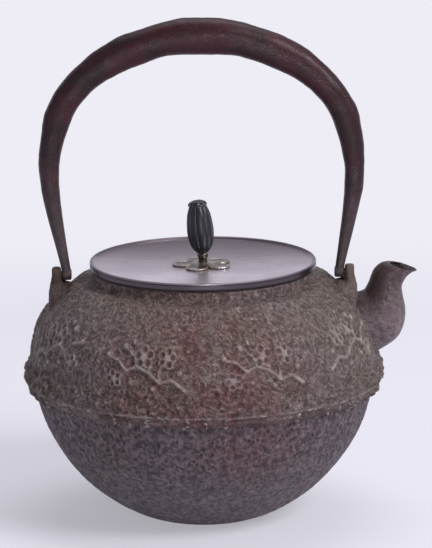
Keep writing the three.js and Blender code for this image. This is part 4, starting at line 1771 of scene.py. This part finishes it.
@dataclass
class Handle:
    """The hollow bow with its seam, and the two solid legs with their eyes and pins."""

    maker: Maker
    finishes: Finishes
    ears: Ears
    sheet: float = 1.3
    seam: float = 0.5
    leg_rise: float = 24.0
    spigot_length: float = 7.0
    pin_radius: float = 1.7
    pin_tip: float = -0.25
    squareness: float = 0.85
    softness: float = 2.3
    # From the right pivot to the crown: x, height over the pivot, depth in the bow's plane, breadth across it.
    stops: tuple[tuple[float, float, float, float], ...] = (
        (62.4, 0, 3.9, 4.2), (64.4, 10.7, 4.8, 4.9), (66.2, 20.1, 6.0, 5.9), (67.9, 29.5, 7.2, 6.9),
        (69.3, 38.7, 8.2, 7.8), (69.9, 50.2, 9.4, 8.7), (68.6, 60.7, 10.6, 9.8), (65.5, 73.5, 12.4, 11.2),
        (61.1, 81.6, 12.6, 12.0), (54.0, 90.0, 12.8, 12.4), (45.2, 97.0, 14.2, 12.8), (34.4, 102.7, 15.4, 13.2),
        (17.5, 108.6, 14.9, 13.6), (8.0, 109.7, 16.6, 14.0), (0.0, 109.8, 17.0, 14.0),
    )

    def __post_init__(self) -> None:
        """Works out the bow's line with its softened corners, half a millimetre a step."""
        half = np.array(self.stops) + [0, self.ears.pivot_height, 0, 0]
        whole = np.concatenate([half, half[-2::-1] * [-1, 1, 1, 1]])
        steps = np.linalg.norm(np.diff(whole[:, :2], axis=0), axis=1)
        along = np.concatenate([[0], np.cumsum(steps)])
        self.length = float(along[-1])
        self.arc = np.append(np.arange(0, self.length, 0.5), self.length)
        line = np.stack([np.interp(self.arc, along, whole[:, k]) for k in range(4)], axis=1)
        self.line = self.soften(line, self.softness)
        ways = np.gradient(self.soften(line[:, :2], self.softness * 2), axis=0)
        self.ways = ways / np.linalg.norm(ways, axis=1)[:, None]

    def soften(self, line: np.ndarray, reach: float) -> np.ndarray:
        """Rounds a line's corners.

        Args:
            line: Rows half a millimetre apart.
            reach: How far along the line the rounding reaches, in millimetres.

        Returns:
            The softened rows.
        """
        spots = np.arange(-int(reach * 6), int(reach * 6) + 1) * 0.5
        weights = np.exp(-((spots / reach) ** 2) / 2)
        weights /= weights.sum()
        pad = len(spots) // 2
        first = line[0] + (line[0] - line[1]) * np.arange(pad, 0, -1)[:, None]
        last = line[-1] + (line[-1] - line[-2]) * np.arange(1, pad + 1)[:, None]
        padded = np.concatenate([first, line, last])
        return np.stack([np.convolve(padded[:, k], weights, "valid") for k in range(line.shape[1])], axis=1)

    def joint_arc(self) -> float:
        """How far along the line the right leg meets the bow."""
        rising = self.line[: len(self.line) // 2, 1]
        return float(np.interp(self.ears.pivot_height + self.leg_rise, rising, self.arc[: len(rising)]))

    def section(self, spot: float, turns: np.ndarray, inset: float) -> np.ndarray:
        """Points of one section of the bow.

        Args:
            spot: How far along the line it lies.
            turns: The angles of its points, from the outer side.
            inset: How far under the skin they lie.

        Returns:
            One row for each point.
        """
        x, z, depth, breadth = (np.interp(spot, self.arc, self.line[:, k]) for k in range(4))
        way = np.array([np.interp(spot, self.arc, self.ways[:, k]) for k in range(2)])
        outwards = np.array([way[1], 0, -way[0]])
        return ring_about(
            np.array([x, 0, z]), outwards * (depth / 2 - inset), np.array([0, breadth / 2 - inset, 0]), turns,
            self.squareness,
        )

    def planish(self, piece: bpy.types.Object, height: float) -> None:
        """Leaves broad hammer marks and fine unevenness on a forged piece.

        Args:
            piece: The mesh object.
            height: The height of the marks.
        """
        places = coordinates(piece)
        marks = perlin(places * [0.7, 1, 1], 9.0, 12.5) + 0.35 * perlin(places, 3.0, 21.0)
        joint = self.ears.pivot_height + self.leg_rise
        marks *= 0.15 + 0.85 * ramp(places[:, 2], joint, joint + 14)
        move_to(piece, places + vertex_normals(piece) * (height * marks)[:, None])

    def make_bow(self) -> None:
        """Makes the hollow bow."""
        start = self.joint_arc()
        slit = math.asin((self.seam / 13) ** (1 / self.squareness))
        out = np.linspace(-math.pi + slit, math.pi - slit, 57)
        rings = []
        for spot in np.linspace(start, self.length - start, 210):
            rings.append(np.concatenate([
                self.section(spot, out, 0), self.section(spot, out[::-2], self.sheet),
            ]))
        bow = loft_piece("forged_bow", np.array(rings))
        self.planish(bow, 0.42)
        smooth(bow, 50)
        self.maker.settle(bow, self.finishes.forged, Body.HANDLE, "handle_bow", "forged_iron")

    def make_end(self, side: Side) -> None:
        """Makes one solid leg with its spigot, eye and pin.

        Args:
            side: The side of the kettle.
        """
        ears = self.ears
        turns = np.linspace(0, TAU, 44, endpoint=False)
        joint = self.joint_arc()
        rings = [self.section(spot, turns, 0) for spot in np.linspace(0, joint + 0.05, 22)]
        spigot = np.linspace(joint + 0.05, joint + self.spigot_length, 6)
        rings += [self.section(spot, turns, self.sheet + 0.15) for spot in spigot]
        flip = np.array([side.value, side.value, 1])
        end = loft_piece(f"leg_{side.name.lower()}", np.array(rings) * flip)
        x, z, s = ears.pivot_radius, ears.pivot_height, side.value
        eye = round_bar("eye", Vector((s * (x - 2), 0, z)), Vector((s * (x + 2.25), 0, z)), 2.6, 0.8)
        tip = ears.inner + ears.thickness + self.pin_tip
        pin = round_bar("pin", Vector((s * x, 0, z)), Vector((s * tip, 0, z)), self.pin_radius, 0.5)
        combine(end, eye, "UNION")
        combine(end, pin, "UNION")
        self.planish(end, 0.42)
        smooth(end, 45)
        node = "handle_right_end" if side is Side.RIGHT else "handle_left_end"
        self.maker.settle(end, self.finishes.forged, Body.HANDLE, node, "forged_iron")

    def build(self) -> None:
        """Makes the bow and both ends."""
        self.make_bow()
        for side in Side:
            self.make_end(side)


@dataclass
class Lid:
    """The dished lid with its collar and its two washers."""

    maker: Maker
    finishes: Finishes
    sizes: BodySizes = field(default_factory=BodySizes)
    radius: float = 52.0
    edge: float = 3.7
    lip: float = 2.0
    dish: float = 2.8
    thickness: float = 2.0
    seat_gap: float = 0.2
    hole: float = 2.3
    collar_gap: float = 0.6
    collar_wall: float = 1.2
    collar_depth: float = 7.5
    flower_radius: float = 14.2
    petals: int = 5
    notch: float = 0.5
    washer_radius: float = 6.0
    washer_thickness: float = 0.8

    @property
    def under(self) -> float:
        """Height of the lid's seat."""
        return self.sizes.rim_top + self.seat_gap

    @property
    def floor(self) -> float:
        """Height of the dish's middle."""
        return self.under + self.edge - self.dish

    @property
    def collar_radius(self) -> float:
        """The collar's outer radius."""
        return self.sizes.rim_outer - self.sizes.rim_width - self.collar_gap

    def dish_height(self, radius: np.ndarray) -> np.ndarray:
        """Height of the lid's face.

        Args:
            radius: Distances from the axis.

        Returns:
            The heights.
        """
        return self.floor + (self.dish - 1.1) * (radius / (self.radius - self.lip)) ** 2

    def make_dish(self) -> None:
        """Makes the lid's plate, with a fine step under the top of its edge."""
        top, under, across = self.under + self.edge, self.under, self.radius - self.lip
        radii = np.linspace(across, self.hole + 0.3, 34)
        face = np.stack([radii, self.dish_height(radii)], axis=1)
        profile = np.concatenate([
            [[self.hole, self.floor - self.thickness], [20, self.floor - self.thickness + 0.45],
             [self.collar_radius, under], [self.radius - 0.9, under], [self.radius - 0.35, under + 0.12],
             [self.radius - 0.08, under + 0.5], [self.radius - 0.02, under + 1.4], [self.radius, top - 1.15],
             [self.radius - 0.28, top - 1.02], [self.radius - 0.28, top - 0.86], [self.radius - 0.06, top - 0.74],
             [self.radius - 0.1, top - 0.3], [self.radius - 0.35, top - 0.06], [self.radius - 0.8, top],
             [self.radius - 1.15, top - 0.1], [self.radius - 1.5, top - 0.45]],
            face,
            [[self.hole, self.floor - 0.1]],
        ])
        dish = spin_piece("dished_lid", profile, 264)
        places = coordinates(dish)
        wavy = 0.09 * perlin(places * [1, 1, 0.2], 26.0, 2.8)
        wavy *= ramp(self.radius - 3 - np.hypot(places[:, 0], places[:, 1]), 0, 8)
        places[:, 2] += wavy
        move_to(dish, places)
        out = np.hypot(places[:, 0], places[:, 1])
        edge = ramp(out, self.radius - 0.9, self.radius - 0.4) * ramp(top - places[:, 2], 0.1, 0.4)
        set_mask(dish, "side", np.maximum(edge, 0.7 * ramp(out, self.radius - 2.2, self.radius - 1.3)))
        smooth(dish, 35)
        self.maker.settle(dish, self.finishes.bronze, Body.LID, "lid_plate", "lid_bronze")

    def make_collar(self) -> None:
        """Makes the ring that drops into the mouth."""
        outer, inner = self.collar_radius, self.collar_radius - self.collar_wall
        low, high = self.under - self.collar_depth, self.under - 0.25
        profile = np.array([
            [inner, low + 0.3], [inner + 0.3, low], [outer - 0.3, low], [outer, low + 0.3], [outer, high],
            [inner, high - 0.05],
        ])
        collar = smooth(spin_piece("seat_ring", profile, 192))
        set_mask(collar, "side", np.full(len(collar.data.vertices), 0.7))
        self.maker.settle(collar, self.finishes.bronze, Body.LID, "lid_collar", "lid_bronze")

    def make_flower(self) -> None:
        """Makes the blossom washer, with rolled petal edges round hollowed petals."""
        turns = np.linspace(0, TAU, 240, endpoint=False)
        petal = np.abs(np.cos(self.petals * (turns - math.pi) / 2))
        reach = self.flower_radius * (1 - self.notch * (1 - petal**0.6))
        under = float(self.dish_height(np.array([self.flower_radius]))[0]) + 0.15

        def place(share: float, height: np.ndarray | float) -> np.ndarray:
            """A ring of the washer.

            Args:
                share: How far out it lies, from the hole at 0 to the outline at 1.
                height: Its height over the washer's underside.

            Returns:
                One row for each point.
            """
            radius = self.hole + (reach - self.hole) * share
            return np.stack([radius * np.cos(turns), radius * np.sin(turns), under + height + 0 * turns], axis=1)

        rings = [place(0, 0), place(0.5, 0), place(0.96, 0), place(1, 0.25)]
        for share in np.linspace(1, 0, 48):
            bead = math.exp(-(((share - 0.93) / 0.05) ** 2)) * (0.14 + 0.12 * petal)
            body = (0.45 if share > 0.985 else 0.62) - 0.12 * math.sin(math.pi * min(1.0, share / 0.95)) * petal**2
            boss = 0.8 * math.exp(-((share / 0.2) ** 2))
            rings.append(place(share, body + bead + boss))
        flower = loft_piece("blossom_washer", np.array(rings), capped=False)
        places = coordinates(flower)
        out = np.hypot(places[:, 0], places[:, 1])
        turn = np.arctan2(places[:, 1], places[:, 0])
        lobe = np.abs(np.cos(self.petals * (turn - math.pi) / 2)) ** 0.6
        limit = self.flower_radius * (1 - self.notch * (1 - lobe))
        part = (out - self.hole) / (limit - self.hole)
        set_mask(flower, "hollow", 0.62 * ramp(part, 0.2, 0.5) * ramp(0.9 - part, 0, 0.12))
        smooth(flower, 50)
        self.maker.settle(flower, self.finishes.pale, Body.LID, "flower_washer", "pale_metal")

    def make_under_washer(self) -> None:
        """Makes the plain washer under the lid."""
        top = self.floor - self.thickness - 0.25
        low = top - self.washer_thickness
        profile = np.array([
            [self.hole, low], [self.washer_radius - 0.2, low], [self.washer_radius, low + 0.2],
            [self.washer_radius, top - 0.2], [self.washer_radius - 0.2, top], [self.hole, top],
        ])
        washer = smooth(spin_piece("under_lid_washer", profile, 96))
        self.maker.settle(washer, self.finishes.pale, Body.LID, "under_washer", "pale_metal")

    def build(self) -> None:
        """Makes the lid's four pieces."""
        self.make_dish()
        self.make_collar()
        self.make_flower()
        self.make_under_washer()


@dataclass
class Knob:
    """The ribbed bud on its turned stem."""

    maker: Maker
    finishes: Finishes
    lid: Lid
    tang_radius: float = 2.0
    stem_rise: float = 5.8
    collar_radius: float = 2.5
    collar_height: float = 1.2
    rivet_radius: float = 3.4
    rivet_height: float = 1.2
    peg_radius: float = 1.1
    peg_length: float = 5.0
    bud_radius: float = 6.2
    bud_gap: float = 0.35
    lobes: int = 8
    first_lobe: float = 9.5
    groove: float = 0.75
    lean: float = 5.5
    # The bud's height and radius, from its foot to its crown.
    outline: tuple[tuple[float, float], ...] = (
        (0, 2.4), (0.8, 3.5), (2, 4.4), (3.1, 5.0), (5.1, 5.6), (8, 6.1), (10.5, 6.2), (13, 6.05), (15.5, 5.8),
        (18, 5.35), (20.2, 4.65), (21.6, 4.0),
    )
    # The crown's radius, height and raggedness, from its underside to its top.
    crown: tuple[tuple[float, float, float], ...] = (
        (4.05, 21.9, 0.7), (4.15, 22.3, 1.0), (4.05, 23.0, 1.0), (3.5, 23.7, 0.8), (2.4, 24.2, 0.5),
        (1.2, 24.4, 0.2), (0.2, 24.45, 0.0),
    )

    @property
    def stem_top(self) -> float:
        """Height of the top of the stem's collar."""
        return self.lid.floor + self.stem_rise

    def make_stem(self) -> None:
        """Makes the turned stem with its collar and riveted foot."""
        rivet_top = self.lid.floor - self.lid.thickness - 0.5 - self.lid.washer_thickness
        low, top, r = rivet_top - self.rivet_height, self.stem_top, self.tang_radius
        profile = np.array([
            [0, low], [self.rivet_radius * 0.5, low + 0.05], [self.rivet_radius * 0.85, low + 0.35],
            [self.rivet_radius, rivet_top - 0.35], [self.rivet_radius, rivet_top], [r, rivet_top],
            [r, top - 4.4], [r - 0.12, top - 3.6], [r - 0.12, top - 2.8], [r + 0.1, top - 2.2],
            [r + 0.4, top - 1.9], [r + 0.3, top - 1.6], [r + 0.2, top - 1.4],
            [self.collar_radius, top - self.collar_height], [self.collar_radius, top - 0.5],
            [self.collar_radius - 0.2, top - 0.2], [self.peg_radius, top - 0.2],
            [self.peg_radius, top + self.peg_length], [0, top + self.peg_length],
        ])
        stem = smooth(spin_piece("turned_stem", profile, 96, closed=False), 35)
        self.maker.settle(stem, self.finishes.stem, Body.KNOB, "knob_tang", "stem_metal")

    def bud_ring(self, radius: float, height: float, groove: float, turns: np.ndarray) -> np.ndarray:
        """A ring of the bud with its ribs.

        Args:
            radius: The ring's largest radius.
            height: Its height over the bud's foot.
            groove: The depth of the grooves between the ribs.
            turns: The angles of its points.

        Returns:
            One row for each point.
        """
        rib = np.abs(np.cos(self.lobes * (turns - math.radians(self.first_lobe)) / 2)) ** 0.42
        r = radius - groove * (1 - rib)
        return np.stack([r * np.cos(turns), r * np.sin(turns), height + 0 * turns], axis=1)

    def make_bud(self) -> None:
        """Makes the bud, leaning a little, with a ragged crown and a blind hole for the peg."""
        turns = np.linspace(0, TAU, 160, endpoint=False)
        outline = np.array(self.outline)
        heights = np.linspace(0, outline[-1, 0], 60)
        radii = np.interp(heights, outline[:, 0], outline[:, 1])
        radii = np.convolve(np.pad(radii, 2, mode="edge"), np.full(5, 0.2), "valid")
        rings = []
        for height, radius in zip(heights, radii):
            groove = self.groove * min(1.0, radius / self.bud_radius) + 0.1
            rings.append(self.bud_ring(radius, height, groove, turns))
        ragged = 0.28 * np.cos(self.lobes * turns + 0.7) + 0.22 * np.cos(3 * turns + 2.1)
        for radius, height, share in self.crown:
            ring = self.bud_ring(radius, height, 0.2 * share, turns)
            ring[:, :2] *= (1 + share * ragged / radius)[:, None]
            ring[:, 2] += share * 0.12 * np.cos(5 * turns + 0.4)
            rings.append(ring)
        bud = loft_piece("ribbed_bud", np.array(rings))
        socket = round_bar("socket", Vector((0, 0, -1)), Vector((0, 0, self.peg_length + 0.75)), 1.85, 0)
        combine(bud, socket, "DIFFERENCE")
        turn = Matrix.Rotation(math.radians(-self.lean), 4, "Y")
        lift = Matrix.Translation((0, 0, (self.stem_top + self.bud_gap) * MM))
        bud.data.transform(lift @ turn)
        smooth(bud, 40)
        self.maker.settle(bud, self.finishes.bud, Body.KNOB, "knob_bud", "black_bronze")

    def build(self) -> None:
        """Makes the stem and the bud."""
        self.make_stem()
        self.make_bud()


@dataclass
class Studio:
    """The floor, backdrop, lamps, world and camera."""

    camera_place: tuple[float, float, float] = (0.0, -1.6, 0.4676)
    camera_pitch: float = 12.54
    camera_roll: float = 0.65
    focal_pixels: float = 3566.0
    axis_pixel: float = 203.0
    floor_colour: str = "d4d3de"
    upper_colour: str = "97959f"
    dim_colour: str = "8d8a94"
    backdrop_colour: str = "eeedf6"
    world_colour: str = "f1f0f8"
    sensor: float = 36.0

    def make_camera(self) -> None:
        """Places the camera at the photograph's viewing angle."""
        lens = bpy.data.cameras.new("viewpoint")
        lens.sensor_width = self.sensor
        lens.lens = self.focal_pixels / FRAME_HEIGHT * self.sensor
        lens.shift_x = (FRAME_WIDTH / 2 - self.axis_pixel) / FRAME_HEIGHT
        lens.clip_start = 0.01
        camera = bpy.data.objects.new("viewpoint", lens)
        bpy.context.collection.objects.link(camera)
        camera.location = self.camera_place
        look = Matrix.Rotation(math.radians(90 - self.camera_pitch), 4, "X")
        roll = Matrix.Rotation(math.radians(-self.camera_roll), 4, "Z")
        camera.matrix_world = Matrix.Translation(self.camera_place) @ look @ roll
        bpy.context.scene.camera = camera

    def make_floor(self) -> None:
        """Makes a floor that sweeps up into a backdrop."""
        deselect_all()
        bpy.ops.mesh.primitive_plane_add(size=1)
        floor = named("studio_floor")
        bpy.ops.object.mode_set(mode="EDIT")
        bpy.ops.mesh.select_all(action="SELECT")
        bpy.ops.transform.resize(value=(14, 8, 1))
        bpy.ops.mesh.select_all(action="DESELECT")
        edit = bmesh.from_edit_mesh(floor.data)
        for edge in edit.edges:
            edge.select = all(v.co.y > 3.9 for v in edge.verts)
        bmesh.update_edit_mesh(floor.data)
        for rise, run in ((0.1, 0.4), (0.3, 0.3), (0.4, 0.1), (2.2, 0.0)):
            bpy.ops.mesh.extrude_region_move(TRANSFORM_OT_translate={"value": (0, run, rise)})
        bpy.ops.object.mode_set(mode="OBJECT")
        material = self.make_paper()
        floor.data.materials.append(material)

    def make_paper(self) -> bpy.types.Material:
        """Makes the paper, which is even and pale away from the kettle, as the camera and reflections see it.

        Returns:
            The material.
        """
        material = bpy.data.materials.new("studio_paper")
        material.use_nodes = True
        graph = Graph(material.node_tree)
        shader = material.node_tree.nodes["Principled BSDF"]
        shader.inputs["Base Color"].default_value = linear(self.floor_colour)
        shader.inputs["Roughness"].default_value = 0.9
        glow = graph.node("Emission")
        glow.inputs["Strength"].default_value = 1.0
        split = graph.node("SeparateXYZ")
        graph.feed(split.inputs[0], graph.object_place())
        flat = graph.node("CombineXYZ")
        graph.feed(flat.inputs[0], split.outputs[0])
        graph.feed(flat.inputs[1], split.outputs[1])
        away = graph.node("VectorMath", operation="LENGTH")
        graph.feed(away.inputs[0], flat.outputs[0])
        far = graph.remap(away.outputs["Value"], 0.22, 0.65)
        path = graph.node("LightPath")
        mirrored = graph.math("MAXIMUM", path.outputs["Is Glossy Ray"], path.outputs["Is Transmission Ray"])
        high = graph.math("MULTIPLY", graph.remap(split.outputs[2], 0.75, 1.75), mirrored)
        graph.feed(glow.inputs["Color"], graph.mix(high, linear(self.backdrop_colour), linear(self.upper_colour)))
        seen = graph.math("MAXIMUM", path.outputs["Is Camera Ray"], mirrored)
        share = graph.math("MULTIPLY", graph.math("MAXIMUM", far, 0.42), seen)
        mixed = graph.node("MixShader")
        graph.feed(mixed.inputs[0], share)
        graph.feed(mixed.inputs[1], shader.outputs[0])
        graph.feed(mixed.inputs[2], glow.outputs[0])
        graph.feed(material.node_tree.nodes["Material Output"].inputs["Surface"], mixed.outputs[0])
        return material

    def make_lamp(self, name: str, place: tuple, size: float, power: float, target: tuple) -> None:
        """Adds a square soft lamp that points at a place.

        Args:
            name: The lamp's name.
            place: Where it stands.
            size: The length of its side.
            power: Its power in watts.
            target: The place that it points at.
        """
        light = bpy.data.lights.new(name, "AREA")
        light.shape = "SQUARE"
        light.size = size
        light.energy = power
        lamp = bpy.data.objects.new(name, light)
        bpy.context.collection.objects.link(lamp)
        lamp.location = place
        lamp.rotation_euler = (Vector(target) - Vector(place)).to_track_quat("-Z", "Y").to_euler()

    def make_world(self) -> None:
        """Makes a pale world that is dimmer towards the front and left, as a room round a lit backdrop is."""
        world = bpy.data.worlds.new("studio_world")
        world.use_nodes = True
        bpy.context.scene.world = world
        graph = Graph(world.node_tree)
        lit = world.node_tree.nodes["Background"]
        lit.inputs["Strength"].default_value = 0.55
        towards = graph.node("VectorMath", operation="DOT_PRODUCT")
        graph.feed(towards.inputs[0], graph.node("TexCoord").outputs["Generated"])
        graph.feed(towards.inputs[1], (0.5, 0.86, 0.1))
        back = graph.remap(towards.outputs["Value"], -0.7, 0.5)
        graph.feed(lit.inputs["Color"], graph.mix(back, linear(self.dim_colour), linear(self.world_colour)))
        plain = graph.node("Background")
        plain.inputs["Color"].default_value = linear(self.backdrop_colour)
        plain.inputs["Strength"].default_value = 1.0
        mixed = graph.node("MixShader")
        graph.feed(mixed.inputs[0], graph.node("LightPath").outputs["Is Camera Ray"])
        graph.feed(mixed.inputs[1], lit.outputs[0])
        graph.feed(mixed.inputs[2], plain.outputs[0])
        graph.feed(world.node_tree.nodes["World Output"].inputs["Surface"], mixed.outputs[0])

    def build(self) -> None:
        """Makes the whole studio."""
        bpy.context.scene.view_settings.view_transform = "Standard"
        self.make_camera()
        self.make_floor()
        self.make_lamp("key_lamp", (1.3, -1.0, 1.4), 0.9, 38, (0, 0, 0.08))
        self.make_lamp("fill_lamp", (-1.5, -1.0, 0.9), 1.4, 3, (0, 0, 0.08))
        self.make_lamp("low_lamp", (0.1, -1.1, 0.16), 0.3, 2.8, (0, 0, 0.02))
        self.make_lamp("top_lamp", (0.1, 0.5, 1.8), 1.3, 14, (0, 0, 0.1))
        self.make_world()


def main() -> None:
    """Builds the studio and every piece of the kettle."""
    logging.basicConfig(level=logging.INFO, format="%(name)s: %(message)s")
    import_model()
    Studio().build()
    maker = Maker()
    finishes = Finishes(Groups())
    Castings(maker, finishes).build()
    Spout(maker, finishes).build()
    ears = Ears(maker, finishes)
    ears.build()
    Handle(maker, finishes, ears).build()
    lid = Lid(maker, finishes)
    lid.build()
    Knob(maker, finishes, lid).build()
    log.info("%d pieces made", len(maker.made))


if __name__ == "__main__":
    main()
